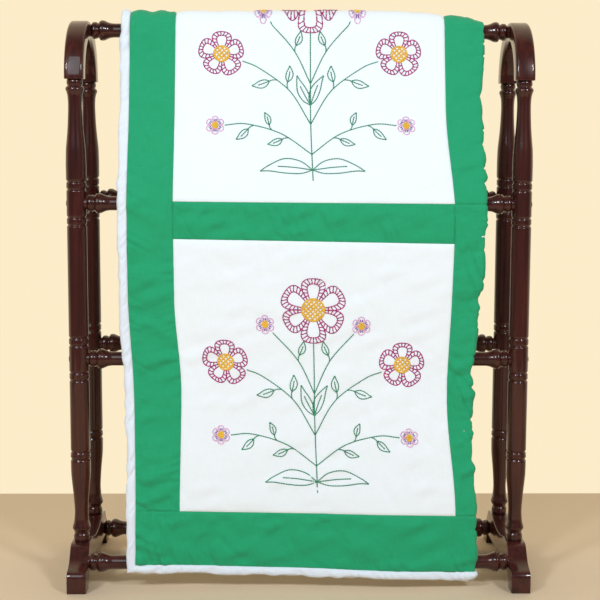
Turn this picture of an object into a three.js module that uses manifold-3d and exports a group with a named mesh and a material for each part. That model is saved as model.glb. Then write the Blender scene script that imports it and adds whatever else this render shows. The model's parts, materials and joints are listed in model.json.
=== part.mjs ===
// A turned-wood quilt rack with a patchwork quilt draped over it.
// Millimetres, +Z up, +Y towards the back. The origin is on the floor, midway between the two end
// frames and midway between the front and the rear posts.
import * as THREE from 'three';
import { mergeVertices } from 'three/addons/utils/BufferGeometryUtils.js';
import Module from 'manifold-3d';

const wasm = await Module();
wasm.setup();

// ---------------------------------------------------------------- driving dimensions
const rackHeight = 925; // floor to the crown of the arches
const frameSpacing = 722; // between the mid-planes of the two end frames
const postSpacing = 164; // front post axis to rear post axis
const boardThickness = 31; // arches and feet, along X
const archBand = 31; // depth of the arch's wood, seen from the side
const toeReach = 76; // post axis to the end of a toe
const footSeatHeight = 68; // where the posts stand on a foot
const toeHeight = 34;
const toePad = 35; // length of a toe that touches the floor
const footRelief = 22; // height of the cut-out between the toes
const footDip = 9; // dip of the foot's top edge between its posts
const upperRailHeight = 629;
const lowerRailHeight = 374.5;
const bottomRailHeight = 41;
const bottomFrontSetOut = 34; // bottom front rail, ahead of the front posts
const lowerVaseHeight = 213.6; // bead on top of the lower vase turning

const postRadius = 16;
const grooveRadius = 13.4;
const beadRadius = 16.5;
const vaseRadius = 16.3;
const neckRadius = 11;
const collarRadius = 15;
const endBeadRadius = 12.9;
const endGrooveRadius = 11.4;
const beadPitch = 6.3; // groove to bead, bead to groove
const blockHeight = 45; // plain block that takes a rail, groove to groove
const grooveHalfWidth = 2.8;

const rodRadius = 11.5;
const railTenonRadius = 10;
const railSmallBeadRadius = 13.8;
const railBigBeadRadius = 16.6;
const postTenonRadius = 9;
const postTopTenon = 20; // length
const tenonWall = 3.4; // wood left between a post's lower tenon and the rail under it
const railTenonInset = 7; // rail end to the mid-plane of its end frame

const screwShankRadius = 2.5;
const screwHeadRadius = 4.5;
const screwHeadHeight = 3.5;
const screwBite = 38; // length of screw inside a rail
const plugRadius = 5.7;
const counterboreFloor = 6; // from the mid-plane, outwards
const plugRecess = 0.3;
const fit = 0.3; // clearance between pieces that touch

const quiltWidth = 1145; // cut flat, edge to edge
const quiltLength = 1654;
const layerThickness = 6;
const layerGap = 1; // between the two halves of the folded quilt
const bindingWidth = 15;
const quiltSetIn = 72; // left end frame's mid-plane to the quilt's bound edge
const foldShiftTop = 22; // how far the fold lies past the quilt's middle, at the top rail
const foldShiftHem = 4; // and at the hems
const frontHemHeight = 28;
const railClearance = 0.5; // quilt to rail
const kickStart = 45; // above the lower rail, where the front drop starts to swing out
const straightStep = 90; // length of a facet where the quilt hangs straight
const bendStep = 0.25; // turn of a facet where it bends, in radians

const turnedSides = 12;
const railSides = 10;
const boreSides = 8;
const screwSides = 6;

// ---------------------------------------------------------------- derived places
const halfFrame = frameSpacing / 2;
const halfPost = postSpacing / 2;
const archOuterRadius = halfPost + archBand / 2;
const archInnerRadius = halfPost - archBand / 2;
const archSpring = rackHeight - archOuterRadius; // arch ends and post tops
const topRailHeight = rackHeight - archBand / 2;
const footTenon = footSeatHeight - bottomRailHeight - railTenonRadius - tenonWall;
const footLength = postSpacing + 2 * toeReach;
const foldThickness = 2 * layerThickness + layerGap;
const quiltLeft = quiltSetIn - halfFrame; // X of the outer half's bound edge
const foldTop = quiltLeft + quiltWidth / 2 + foldShiftTop; // X of the lengthwise fold
const foldHem = quiltLeft + quiltWidth / 2 + foldShiftHem;

// ---------------------------------------------------------------- materials
const mahogany = new THREE.MeshStandardMaterial({ color: 0x3f1c1a, roughness: 0.22, metalness: 0 });
const steel = new THREE.MeshStandardMaterial({ color: 0x8d9095, roughness: 0.35, metalness: 1 });
const cloth = new THREE.MeshStandardMaterial({ color: 0x2fa873, roughness: 0.9, metalness: 0 });
const bindingCloth = new THREE.MeshStandardMaterial({ color: 0xe6e8f2, roughness: 0.9, metalness: 0 });

// ---------------------------------------------------------------- solids
function toSolid(geometry) {
  const bare = geometry.clone();
  bare.deleteAttribute('normal');
  bare.deleteAttribute('uv');
  const merged = mergeVertices(bare, 1e-4);
  return new wasm.Manifold(new wasm.Mesh({
    numProp: 3,
    vertProperties: new Float32Array(merged.attributes.position.array),
    triVerts: new Uint32Array(merged.index.array),
  }));
}

function toGeometry(solid) {
  const mesh = solid.getMesh();
  const geometry = new THREE.BufferGeometry();
  geometry.setAttribute('position', new THREE.BufferAttribute(mesh.vertProperties, 3));
  geometry.setIndex(new THREE.BufferAttribute(mesh.triVerts, 1));
  geometry.computeVertexNormals();
  return geometry;
}

// A solid of revolution about Z. The profile is a list of [radius, height], rising, axis to axis.
function turned(profile, sides) {
  const points = profile.map(([radius, height]) => new THREE.Vector2(radius, height));
  const geometry = new THREE.LatheGeometry(points, sides);
  geometry.rotateX(Math.PI / 2);
  return geometry;
}

// The same, laid along X, so that a profile's heights become places along X.
function turnedAlongX(profile, sides) {
  const geometry = turned(profile, sides);
  geometry.rotateY(Math.PI / 2);
  return geometry;
}

function rod(radius, from, to) {
  return [[0, from], [radius, from], [radius, to], [0, to]];
}

// A board cut from an outline in the YZ plane, centred on X = 0, with eased edges.
function board(outline, ease, curveSegments) {
  const geometry = new THREE.ExtrudeGeometry(outline, {
    depth: boardThickness - 2 * ease,
    bevelEnabled: true,
    bevelThickness: ease,
    bevelSize: ease,
    bevelOffset: -ease,
    bevelSegments: 1,
    curveSegments,
  });
  geometry.translate(0, 0, ease - boardThickness / 2);
  geometry.rotateX(Math.PI / 2);
  geometry.rotateZ(Math.PI / 2);
  return geometry;
}

// ---------------------------------------------------------------- rails and their fixings
// Places along a rail are counted from the mid-plane of its end frame, towards the rack's middle.
const railEndProfile = [
  [railTenonRadius, railTenonInset],
  [railTenonRadius, 18.5],
  [railSmallBeadRadius - 1.2, 19],
  [railSmallBeadRadius, 21.5],
  [railSmallBeadRadius, 25.5],
  [railSmallBeadRadius - 2, 29.3],
  [railBigBeadRadius - 2.2, 30.6],
  [railBigBeadRadius, 34.5],
  [railBigBeadRadius - 0.2, 38],
  [railBigBeadRadius - 2, 43],
  [rodRadius + 0.9, 49],
  [rodRadius, 56],
];

const railSeats = [
  { name: 'rail_top', y: 0, z: topRailHeight },
  { name: 'rail_upper_front', y: -halfPost, z: upperRailHeight },
  { name: 'rail_upper_rear', y: halfPost, z: upperRailHeight },
  { name: 'rail_lower_front', y: -halfPost, z: lowerRailHeight },
  { name: 'rail_lower_rear', y: halfPost, z: lowerRailHeight },
  { name: 'rail_bottom_front', y: -halfPost - bottomFrontSetOut, z: bottomRailHeight },
  { name: 'rail_bottom_rear', y: halfPost, z: bottomRailHeight },
];

function railSolid() {
  const left = railEndProfile.map(([radius, inset]) => [radius, inset - halfFrame]);
  const right = railEndProfile.map(([radius, inset]) => [radius, halfFrame - inset]).reverse();
  const profile = [[0, left[0][1]], ...left, ...right, [0, right.at(-1)[1]]];
  const body = toSolid(turnedAlongX(profile, railSides));
  const end = halfFrame - railTenonInset;
  const pilot = rod(screwShankRadius + fit, end - screwBite - fit, end + 1);
  const rightPilot = turnedAlongX(pilot, boreSides);
  const leftPilot = rightPilot.clone().rotateZ(Math.PI);
  return body.subtract(toSolid(rightPilot)).subtract(toSolid(leftPilot));
}

// Everything that a rail's end takes out of its end frame: socket, screw hole and counterbore.
// It is built for the right-hand frame, in which outwards is +X.
function railSocket(outerFace) {
  const socket = rod(railTenonRadius + fit, -outerFace - 1, fit - railTenonInset);
  const hole = rod(screwShankRadius + fit, -railTenonInset, counterboreFloor + 1);
  const counterbore = rod(plugRadius + fit, counterboreFloor, outerFace + 1);
  return toSolid(turnedAlongX(socket, railSides))
    .add(toSolid(turnedAlongX(hole, boreSides)))
    .add(toSolid(turnedAlongX(counterbore, boreSides)));
}

function screwGeometry() {
  const tip = -railTenonInset - screwBite;
  const head = counterboreFloor + fit;
  return turnedAlongX([
    [0, tip],
    [screwShankRadius, tip + 6],
    [screwShankRadius, head],
    [screwHeadRadius, head],
    [screwHeadRadius * 0.7, head + screwHeadHeight],
    [0, head + screwHeadHeight],
  ], screwSides);
}

function plugGeometry(outerFace) {
  const inner = counterboreFloor + 2 * fit + screwHeadHeight;
  return turnedAlongX([
    [0, inner],
    [plugRadius, inner],
    [plugRadius, outerFace - plugRecess - 1.1],
    [plugRadius * 0.5, outerFace - plugRecess],
    [0, outerFace - plugRecess],
  ], boreSides);
}

// ---------------------------------------------------------------- posts
// A bead between two grooves, centred at a height.
function beadAt(height) {
  return [
    [grooveRadius, height - beadPitch],
    [beadRadius, height - 2.4],
    [beadRadius, height + 2.4],
    [grooveRadius, height + beadPitch],
  ];
}

// A plain cylinder from one groove to the next.
function barrel(lowerGroove, upperGroove) {
  return [
    [postRadius, lowerGroove + grooveHalfWidth],
    [postRadius, upperGroove - grooveHalfWidth],
  ];
}

// A long vase: swollen near its full end and drawn to a neck under a flared collar.
// full is the groove at the swollen end, collar the height of the flare.
function vase(full, collar) {
  const span = collar - full;
  return [
    [vaseRadius - 0.9, full + span * 0.08],
    [vaseRadius, full + span * 0.2],
    [vaseRadius - 1.1, full + span * 0.36],
    [neckRadius + 2, full + span * 0.58],
    [neckRadius, full + span * 0.8],
    [neckRadius + 1.2, full + span * 0.9],
    [collarRadius, collar],
  ];
}

function postProfile() {
  const blockHalf = blockHeight / 2;
  const beadOffset = blockHalf + beadPitch;
  const lowerVaseGroove = lowerVaseHeight - beadPitch;
  const lowerCollar = footSeatHeight + 22;
  const upperCollar = archSpring - 16;
  const grooveOffset = beadOffset + beadPitch;
  return [
    [0, footSeatHeight - footTenon],
    [postTenonRadius, footSeatHeight - footTenon],
    [postTenonRadius, footSeatHeight + fit],
    [endGrooveRadius, footSeatHeight + fit],
    [endBeadRadius, footSeatHeight + 5.5],
    [endBeadRadius, footSeatHeight + 10.5],
    [endGrooveRadius, footSeatHeight + 14],
    [endGrooveRadius + 1.5, footSeatHeight + 16],
    ...vase(lowerVaseGroove, lowerCollar).reverse(),
    ...beadAt(lowerVaseHeight),
    ...barrel(lowerVaseHeight + beadPitch, lowerRailHeight - grooveOffset),
    ...beadAt(lowerRailHeight - beadOffset),
    ...barrel(lowerRailHeight - blockHalf, lowerRailHeight + blockHalf),
    ...beadAt(lowerRailHeight + beadOffset),
    ...barrel(lowerRailHeight + grooveOffset, upperRailHeight - grooveOffset),
    ...beadAt(upperRailHeight - beadOffset),
    ...barrel(upperRailHeight - blockHalf, upperRailHeight + blockHalf),
    ...beadAt(upperRailHeight + beadOffset),
    ...vase(upperRailHeight + grooveOffset, upperCollar),
    [endGrooveRadius, archSpring - 10.5],
    [endBeadRadius, archSpring - 7.5],
    [endBeadRadius, archSpring - 3.5],
    [endGrooveRadius, archSpring - fit],
    [postTenonRadius, archSpring - fit],
    [postTenonRadius, archSpring + postTopTenon],
    [0, archSpring + postTopTenon],
  ];
}

// A post of the right-hand frame, standing on X = 0, Y = 0.
function postSolid() {
  let post = toSolid(turned(postProfile(), turnedSides));
  for (const height of [upperRailHeight, lowerRailHeight]) {
    post = post.subtract(railSocket(postRadius).translate([0, 0, height]));
  }
  return post;
}

// ---------------------------------------------------------------- arches and feet
function archSolid() {
  const outline = new THREE.Shape();
  outline.moveTo(archOuterRadius, archSpring);
  outline.absarc(0, archSpring, archOuterRadius, 0, Math.PI, false);
  outline.lineTo(-archInnerRadius, archSpring);
  outline.absarc(0, archSpring, archInnerRadius, Math.PI, 0, true);
  outline.closePath();
  let arch = toSolid(board(outline, 3, 16));
  for (const y of [-halfPost, halfPost]) {
    const socket = toSolid(turned(
      rod(postTenonRadius + fit, archSpring - 1, archSpring + postTopTenon + fit), turnedSides));
    arch = arch.subtract(socket.translate([0, y, 0]));
  }
  return arch.subtract(railSocket(boardThickness / 2).translate([0, 0, topRailHeight]));
}

// One half of the foot's outline, from the middle of its top edge out to the toe.
// side is -1 towards the front and +1 towards the back.
function footHalf(side) {
  const toe = footLength / 2;
  const seatEdge = halfPost + postRadius;
  return {
    topEdge: [
      [side * (halfPost - postRadius), footSeatHeight],
      [side * seatEdge, footSeatHeight],
      [side * (seatEdge + 8), footSeatHeight - 4],
    ],
    slope: [side * (seatEdge + 20), footSeatHeight - 17],
    instep: [side * (toe - 20), toeHeight + 5],
    toeTop: [side * (toe - 8), toeHeight],
    toeFace: [side * toe, toeHeight - 8],
    toeHeel: [side * (toe - toePad), 0],
    reliefEnd: [side * (toe - toePad - 10), footRelief],
    toe: side * toe,
  };
}

function footOutline() {
  const front = footHalf(-1);
  const rear = footHalf(1);
  const outline = new THREE.Shape();
  outline.moveTo(...rear.topEdge[0]);
  outline.quadraticCurveTo(0, footSeatHeight - 2 * footDip, ...front.topEdge[0]);
  outline.lineTo(...front.topEdge[1]);
  outline.lineTo(...front.topEdge[2]);
  outline.lineTo(...front.slope);
  outline.lineTo(...front.instep);
  outline.lineTo(...front.toeTop);
  outline.quadraticCurveTo(front.toe, toeHeight, ...front.toeFace);
  outline.lineTo(front.toe, 0);
  outline.lineTo(...front.toeHeel);
  outline.quadraticCurveTo(front.toeHeel[0], footRelief, ...front.reliefEnd);
  outline.lineTo(...rear.reliefEnd);
  outline.quadraticCurveTo(rear.toeHeel[0], footRelief, ...rear.toeHeel);
  outline.lineTo(rear.toe, 0);
  outline.lineTo(...rear.toeFace);
  outline.quadraticCurveTo(rear.toe, toeHeight, ...rear.toeTop);
  outline.lineTo(...rear.instep);
  outline.lineTo(...rear.slope);
  outline.lineTo(...rear.topEdge[2]);
  outline.lineTo(...rear.topEdge[1]);
  outline.closePath();
  return outline;
}

function footSolid() {
  let foot = toSolid(board(footOutline(), 2, 4));
  for (const y of [-halfPost, halfPost]) {
    const socket = toSolid(turned(
      rod(postTenonRadius + fit, footSeatHeight - footTenon - fit, footSeatHeight + 1), turnedSides));
    foot = foot.subtract(socket.translate([0, y, 0]));
  }
  for (const seat of railSeats.filter(({ z }) => z === bottomRailHeight)) {
    foot = foot.subtract(railSocket(boardThickness / 2).translate([0, seat.y, seat.z]));
  }
  return foot;
}

// ---------------------------------------------------------------- quilt
// The inner face of the folded quilt, from the front hem over the top rail to the back hem,
// as a path of (Y, Z).
function drapePath() {
  const wrap = rodRadius + railClearance;
  const rise = topRailHeight - upperRailHeight;
  const lean = Math.atan2(halfPost, rise); // of the stretch between the top and an upper rail
  const kickTop = lowerRailHeight + kickStart;
  const frontBottom = -halfPost - bottomFrontSetOut - wrap;
  const path = new THREE.Path();
  path.moveTo(frontBottom, frontHemHeight);
  path.lineTo(frontBottom, bottomRailHeight + 12);
  path.bezierCurveTo(
    frontBottom, bottomRailHeight + 120,
    -halfPost - wrap, kickTop - 150,
    -halfPost - wrap, kickTop);
  path.lineTo(-halfPost - wrap, upperRailHeight);
  path.absarc(-halfPost, upperRailHeight, wrap, Math.PI, Math.PI - lean, true);
  path.absarc(0, topRailHeight, wrap, Math.PI - lean, lean, true);
  path.absarc(halfPost, upperRailHeight, wrap, lean, 0, true);
  path.lineTo(halfPost + wrap, upperRailHeight - (quiltLength - path.getLength()));
  return path;
}

// Stations along the path: the place, the outward normal and the distance from the front hem.
function drapeStations(from, to) {
  const path = drapePath();
  const length = path.getLength();
  const stops = new Set([from, to]);
  let start = 0;
  for (const curve of path.curves) {
    const span = curve.getLength();
    const step = curve.isEllipseCurve ? curve.xRadius * bendStep : straightStep;
    const parts = Math.ceil(span / step);
    for (let part = 0; part <= parts; part += 1) {
      const stop = start + span * part / parts;
      if (stop > from + 2 && stop < to - 2) stops.add(Math.round(stop * 1000) / 1000);
    }
    start += span;
  }
  return [...stops].sort((a, b) => a - b).map((distance) => {
    const place = path.getPointAt(Math.min(distance / length, 1));
    const tangent = path.getTangentAt(Math.min(distance / length, 1));
    return { distance, place, outward: new THREE.Vector2(-tangent.y, tangent.x) };
  });
}

// X of the lengthwise fold, which drifts in from the top rail towards both hems.
function foldPlace(distance) {
  const frontDrop = topRailHeight - frontHemHeight;
  const drift = Math.min(Math.abs(distance - frontDrop) / frontDrop, 1);
  return foldTop + (foldHem - foldTop) * drift;
}

// X of the inner half's bound edge.
function innerEdge(distance) {
  const fold = foldPlace(distance);
  const arc = Math.PI * foldThickness / 2;
  return fold - foldThickness - (quiltWidth - (fold - quiltLeft) - arc);
}

// A closed skin over rings of points that all have the same count.
function loft(rings, section) {
  const count = rings[0].length;
  const positions = rings.flat(2);
  const indices = [];
  for (let ring = 0; ring < rings.length - 1; ring += 1) {
    for (let corner = 0; corner < count; corner += 1) {
      const next = (corner + 1) % count;
      const a = ring * count + corner;
      const b = ring * count + next;
      indices.push(a, b + count, b, a, a + count, b + count);
    }
  }
  const last = (rings.length - 1) * count;
  for (const [a, b, c] of THREE.ShapeUtils.triangulateShape(section, [])) {
    indices.push(a, b, c, last + a, last + c, last + b);
  }
  const geometry = new THREE.BufferGeometry();
  geometry.setAttribute('position', new THREE.BufferAttribute(new Float32Array(positions), 3));
  geometry.setIndex(indices);
  geometry.computeVertexNormals();
  return geometry;
}

// Cloth over part of the path. outline(distance) gives its section as (X, outward) points.
function draped(from, to, outline) {
  const stations = drapeStations(from, to);
  const rings = stations.map(({ distance, place, outward }) => outline(distance).map((point) => [
    point.x,
    place.x + outward.x * point.y,
    place.y + outward.y * point.y,
  ]));
  return loft(rings, outline(from));
}

// Both halves of the quilt and the fold that joins them. trim takes the binding off the edges.
function foldedSection(trim) {
  return (distance) => {
    const fold = foldPlace(distance);
    const turn = fold - foldThickness / 2;
    const outerEdge = quiltLeft + trim;
    const inner = innerEdge(distance) + trim;
    const points = [];
    points.push([outerEdge, layerThickness + layerGap], [outerEdge, foldThickness]);
    for (let part = 0; part <= 6; part += 1) {
      const angle = Math.PI / 2 - Math.PI * part / 6;
      points.push([
        turn + Math.cos(angle) * foldThickness / 2,
        foldThickness / 2 + Math.sin(angle) * foldThickness / 2,
      ]);
    }
    points.push([inner, 0], [inner, layerThickness]);
    points.push([turn, layerThickness], [turn + layerGap / 2, foldThickness / 2]);
    points.push([turn, layerThickness + layerGap]);
    return points.map(([x, outward]) => new THREE.Vector2(x, outward)).reverse();
  };
}

function stripSection(edge, floor) {
  return (distance) => {
    const x = edge(distance);
    return [
      new THREE.Vector2(x, floor),
      new THREE.Vector2(x + bindingWidth - fit, floor),
      new THREE.Vector2(x + bindingWidth - fit, floor + layerThickness),
      new THREE.Vector2(x, floor + layerThickness),
    ];
  };
}

function quiltPieces() {
  const inset = bindingWidth;
  const end = quiltLength;
  const outerFloor = layerThickness + layerGap;
  return {
    quilt_panel: [draped(inset, end - inset, foldedSection(inset)), cloth],
    binding_front_end: [draped(0, inset - fit, foldedSection(0)), bindingCloth],
    binding_back_end: [draped(end - inset + fit, end, foldedSection(0)), bindingCloth],
    binding_outer_side: [
      draped(inset, end - inset, stripSection(() => quiltLeft, outerFloor)), bindingCloth],
    binding_inner_side: [
      draped(inset, end - inset, stripSection(innerEdge, 0)), bindingCloth],
  };
}

// ---------------------------------------------------------------- assembly
const group = new THREE.Group();

function place(parent, name, geometry, material, x = 0, y = 0, z = 0) {
  const mesh = new THREE.Mesh(geometry, material);
  mesh.name = name;
  mesh.position.set(x, y, z);
  parent.add(mesh);
}

// Both end frames have the same pieces. The left frame's are turned half round, except its foot,
// which is mirrored because its two bottom rails are not set out alike.
function endFrame(side, sideName) {
  const frame = new THREE.Group();
  frame.position.x = side * halfFrame;
  const flip = side < 0 ? Math.PI : 0;
  const turn = (geometry) => geometry.clone().rotateZ(flip);
  place(frame, `arch_${sideName}`, turn(toGeometry(archSolid())), mahogany);
  const foot = side < 0 ? footSolid().mirror([1, 0, 0]) : footSolid();
  place(frame, `foot_${sideName}`, toGeometry(foot), mahogany);
  const post = turn(toGeometry(postSolid()));
  place(frame, `post_front_${sideName}`, post, mahogany, 0, -halfPost);
  place(frame, `post_rear_${sideName}`, post, mahogany, 0, halfPost);
  for (const seat of railSeats) {
    const inBoard = seat.z === topRailHeight || seat.z === bottomRailHeight;
    const outerFace = inBoard ? boardThickness / 2 : postRadius;
    const suffix = `${seat.name.replace('rail_', '')}_${sideName}`;
    place(frame, `screw_${suffix}`, turn(screwGeometry()), steel, 0, seat.y, seat.z);
    place(frame, `plug_${suffix}`, turn(plugGeometry(outerFace)), mahogany, 0, seat.y, seat.z);
  }
  return frame;
}

group.add(endFrame(-1, 'left'));
group.add(endFrame(1, 'right'));
const railGeometry = toGeometry(railSolid());
for (const seat of railSeats) {
  place(group, seat.name, railGeometry, mahogany, 0, seat.y, seat.z);
}
for (const [name, [geometry, material]] of Object.entries(quiltPieces())) {
  place(group, name, geometry, material);
}

export default group;
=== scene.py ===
"""A turned mahogany quilt rack with a patchwork quilt folded over it.

Sizes in the code are millimetres unless a name or a property says otherwise. Meshes are made in
metres. +Z is up and +Y is the back of the rack.
"""

import json
import math

import bmesh
import bpy
import numpy as np
from bpy.props import FloatProperty, FloatVectorProperty, IntProperty, PointerProperty
from mathutils import Matrix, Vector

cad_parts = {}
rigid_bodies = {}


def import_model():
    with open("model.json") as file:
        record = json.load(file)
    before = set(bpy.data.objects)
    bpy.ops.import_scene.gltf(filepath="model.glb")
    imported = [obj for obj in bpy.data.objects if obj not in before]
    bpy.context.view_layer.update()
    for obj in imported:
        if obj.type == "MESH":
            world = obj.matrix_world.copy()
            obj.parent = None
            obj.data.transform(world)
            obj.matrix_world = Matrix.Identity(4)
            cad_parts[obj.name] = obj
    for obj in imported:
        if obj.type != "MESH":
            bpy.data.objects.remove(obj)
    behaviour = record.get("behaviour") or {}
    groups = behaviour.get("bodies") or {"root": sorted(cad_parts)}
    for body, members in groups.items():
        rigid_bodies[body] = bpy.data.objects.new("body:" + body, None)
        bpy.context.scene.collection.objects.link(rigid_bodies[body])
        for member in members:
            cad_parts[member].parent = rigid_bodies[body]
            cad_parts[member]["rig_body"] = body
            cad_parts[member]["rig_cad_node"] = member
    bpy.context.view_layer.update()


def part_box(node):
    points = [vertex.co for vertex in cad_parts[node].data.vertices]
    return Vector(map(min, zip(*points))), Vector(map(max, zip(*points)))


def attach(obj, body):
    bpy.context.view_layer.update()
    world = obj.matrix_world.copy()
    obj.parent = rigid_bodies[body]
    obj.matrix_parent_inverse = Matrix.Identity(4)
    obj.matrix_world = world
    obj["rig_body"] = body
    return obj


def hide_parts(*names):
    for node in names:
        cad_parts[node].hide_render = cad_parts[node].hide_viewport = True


bl_info = {
    "name": "Quilt on a Turned Rack",
    "version": (1, 0, 0),
    "blender": (4, 5, 0),
    "location": "3D View > Sidebar > Quilt Rack",
    "description": "Builds a turned quilt rack and the embroidered quilt that hangs on it",
    "category": "Object",
}

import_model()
MM = 0.001


# ---------------------------------------------------------------- places taken from the frame
def middle_of(node):
    low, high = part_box(node)
    return np.array((low + high) / 2) / MM


ENDS = {"left": -1, "right": 1}
ROWS = {"front": -1, "rear": 1}
RAILS = ("top", "upper_front", "upper_rear", "lower_front", "lower_rear",
         "bottom_front", "bottom_rear")
BOARD_RAILS = ("top", "bottom_front", "bottom_rear")
RAIL_AXES = {name: middle_of(f"rail_{name}")[1:] for name in RAILS}
FRAME_PLACE = middle_of("arch_right")[0]
RACK_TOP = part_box("arch_right")[1].z / MM
ARCH_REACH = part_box("arch_right")[1].y / MM
SPRING = RACK_TOP - ARCH_REACH
BOARD_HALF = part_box("arch_right")[1].x / MM - FRAME_PLACE
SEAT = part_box("foot_right")[1].z / MM
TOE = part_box("foot_right")[1].y / MM
POST_LINE = middle_of("post_rear_right")[1]
POST_HALF = 16.0


# ---------------------------------------------------------------- properties
def colour(name, description, default):
    return FloatVectorProperty(name=name, description=description, default=default,
                               subtype="COLOR", size=3, min=0.0, max=1.0)


def length(name, description, default):
    return FloatProperty(name=name, description=description, default=default,
                         unit="LENGTH", subtype="DISTANCE", min=0.0)


class RackSettings(bpy.types.PropertyGroup):
    """Sizes and finish of the wood"""

    turned_sides: IntProperty(name="Turned sides", description="Sides round a turned piece",
                              default=64, min=12)
    arch_edge: length("Arch edge", "Radius of an arch's rounded edges", 0.005)
    foot_edge: length("Foot edge", "Radius of a foot's rounded edges", 0.0028)
    wood_dark: colour("Dark wood", "Mahogany stain between the grain", (0.022, 0.0050, 0.0042))
    wood_light: colour("Light wood", "Mahogany stain on the grain", (0.075, 0.0125, 0.0085))
    steel: colour("Steel", "Screws", (0.42, 0.43, 0.45))


class QuiltSettings(bpy.types.PropertyGroup):
    """Sizes and colours of the quilt, cut flat"""

    width: length("Width", "Edge to edge, flat", 1.145)
    length: length("Length", "Hem to hem, flat", 1.654)
    binding: length("Binding", "Visible width of the binding", 0.015)
    side_border: length("Side border", "Green border beside the blocks", 0.075)
    hem_border: length("Hem border", "Green border between a hem and the blocks", 0.084)
    block: length("Block", "Side of an embroidered block", 0.445)
    row_sash: length("Row sash", "Green strip between two rows", 0.0605)
    column_sash: length("Column sash", "Green strip between the two columns", 0.075)
    cell: length("Cell", "Spacing of a block's mesh", 0.005)
    strip_cell: length("Strip cell", "Spacing of a green strip's mesh", 0.003)
    loft: length("Loft", "Swell of the batting between seams", 0.0013)
    pucker: length("Pucker", "Height of the puckers beside a bound edge", 0.0070)
    wave: length("Wave", "Depth of the soft waves of a hanging drop", 0.0035)
    green: colour("Green", "Borders and sashes", (0.0145, 0.345, 0.156))
    white: colour("White", "Blocks", (0.87, 0.91, 0.965))
    backing: colour("Backing", "Backing cloth", (0.80, 0.81, 0.82))
    binding_white: colour("Binding white", "Binding cloth", (0.79, 0.84, 0.94))


class ThreadSettings(bpy.types.PropertyGroup):
    """Embroidery thread"""

    stitch: length("Stitch", "Length of a stitch", 0.0040)
    thread: length("Thread", "Width of the thread", 0.0022)
    leaf_green: colour("Leaf green", "Stems and leaves", (0.012, 0.250, 0.120))
    magenta: colour("Magenta", "Petals", (0.430, 0.010, 0.180))
    yellow: colour("Yellow", "Flower centres", (0.950, 0.500, 0.035))
    pink: colour("Pink", "Small blossoms", (0.820, 0.440, 0.700))
    violet: colour("Violet", "Rays of the small blossoms", (0.260, 0.070, 0.400))


class StageSettings(bpy.types.PropertyGroup):
    """Floor, lights and camera"""

    floor: colour("Floor", "Floor", (0.72, 0.56, 0.40))
    floor_half: length("Floor half", "Half the width of the floor", 2.0)
    floor_back: length("Floor back", "How far the floor reaches behind the rack", 0.47)
    wall: colour("Wall light", "Light from behind the rack", (0.983, 0.840, 0.584))
    room: colour("Room light", "Light from in front of the rack", (0.14, 0.137, 0.135))
    daylight: colour("Daylight", "Colour of the lamps", (0.875, 0.96, 1.0))
    front_power: FloatProperty(name="Front power", default=17.3, min=0.0, unit="POWER",
                               description="Power of the wide front light")
    side_power: FloatProperty(name="Side power", default=41.0, min=0.0, unit="POWER",
                              description="Power of each of the two softboxes")
    lens: FloatProperty(name="Lens", default=84.0, min=1.0, subtype="DISTANCE_CAMERA",
                        description="Focal length in millimetres")
    eye: FloatVectorProperty(name="Eye", default=(-0.0337, -2.3537, 0.7538), size=3,
                             subtype="TRANSLATION", unit="LENGTH", description="Camera's place")
    pitch: FloatProperty(name="Pitch", default=math.radians(7.077), subtype="ANGLE",
                         description="How far the camera looks down")
    yaw: FloatProperty(name="Yaw", default=math.radians(0.875), subtype="ANGLE",
                       description="How far the camera looks to the right")
    roll: FloatProperty(name="Roll", default=math.radians(0.193), subtype="ANGLE",
                        description="How far the camera leans")


# ---------------------------------------------------------------- curves and noise
def smooth_curve(keys, places):
    """A smooth curve through (place, value) keys that never overshoots them."""
    x, y = np.array(keys, float).T
    step, rise = np.diff(x), np.diff(y)
    slope = rise / step
    tangent = np.zeros(len(x))
    same = slope[1:] * slope[:-1] > 0
    inner = np.zeros(len(x) - 2)
    inner[same] = 2 / (1 / slope[1:][same] + 1 / slope[:-1][same])
    tangent[1:-1] = inner
    places = np.clip(places, x[0], x[-1])
    cell = np.clip(np.searchsorted(x, places, side="right") - 1, 0, len(x) - 2)
    t = (places - x[cell]) / step[cell]
    return ((1 + 2 * t) * (1 - t) ** 2 * y[cell] + t * (1 - t) ** 2 * step[cell] * tangent[cell]
            + t * t * (3 - 2 * t) * y[cell + 1]
            + t * t * (t - 1) * step[cell] * tangent[cell + 1])


def ease(value):
    """0 below 0, 1 above 1, smooth between."""
    value = np.clip(value, 0, 1)
    return value * value * (3 - 2 * value)


def noise(x, wave, seed):
    """Smooth noise from -1 to 1 along one direction."""
    lattice = np.random.RandomState(seed).uniform(-1, 1, 1024)
    place = x / wave + 300
    cell = np.floor(place).astype(int)
    part = ease(place - cell)
    return lattice[cell % 1024] * (1 - part) + lattice[(cell + 1) % 1024] * part


def noise_2d(x, y, wave_x, wave_y, seed):
    """Smooth noise from -1 to 1 over a surface."""
    lattice = np.random.RandomState(seed).uniform(-1, 1, (256, 256))
    place_x, place_y = x / wave_x + 80, y / wave_y + 80
    cell_x, cell_y = np.floor(place_x).astype(int), np.floor(place_y).astype(int)
    part_x, part_y = ease(place_x - cell_x), ease(place_y - cell_y)

    def at(dx, dy):
        return lattice[(cell_x + dx) % 256, (cell_y + dy) % 256]

    low = at(0, 0) * (1 - part_x) + at(1, 0) * part_x
    high = at(0, 1) * (1 - part_x) + at(1, 1) * part_x
    return low * (1 - part_y) + high * part_y


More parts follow.
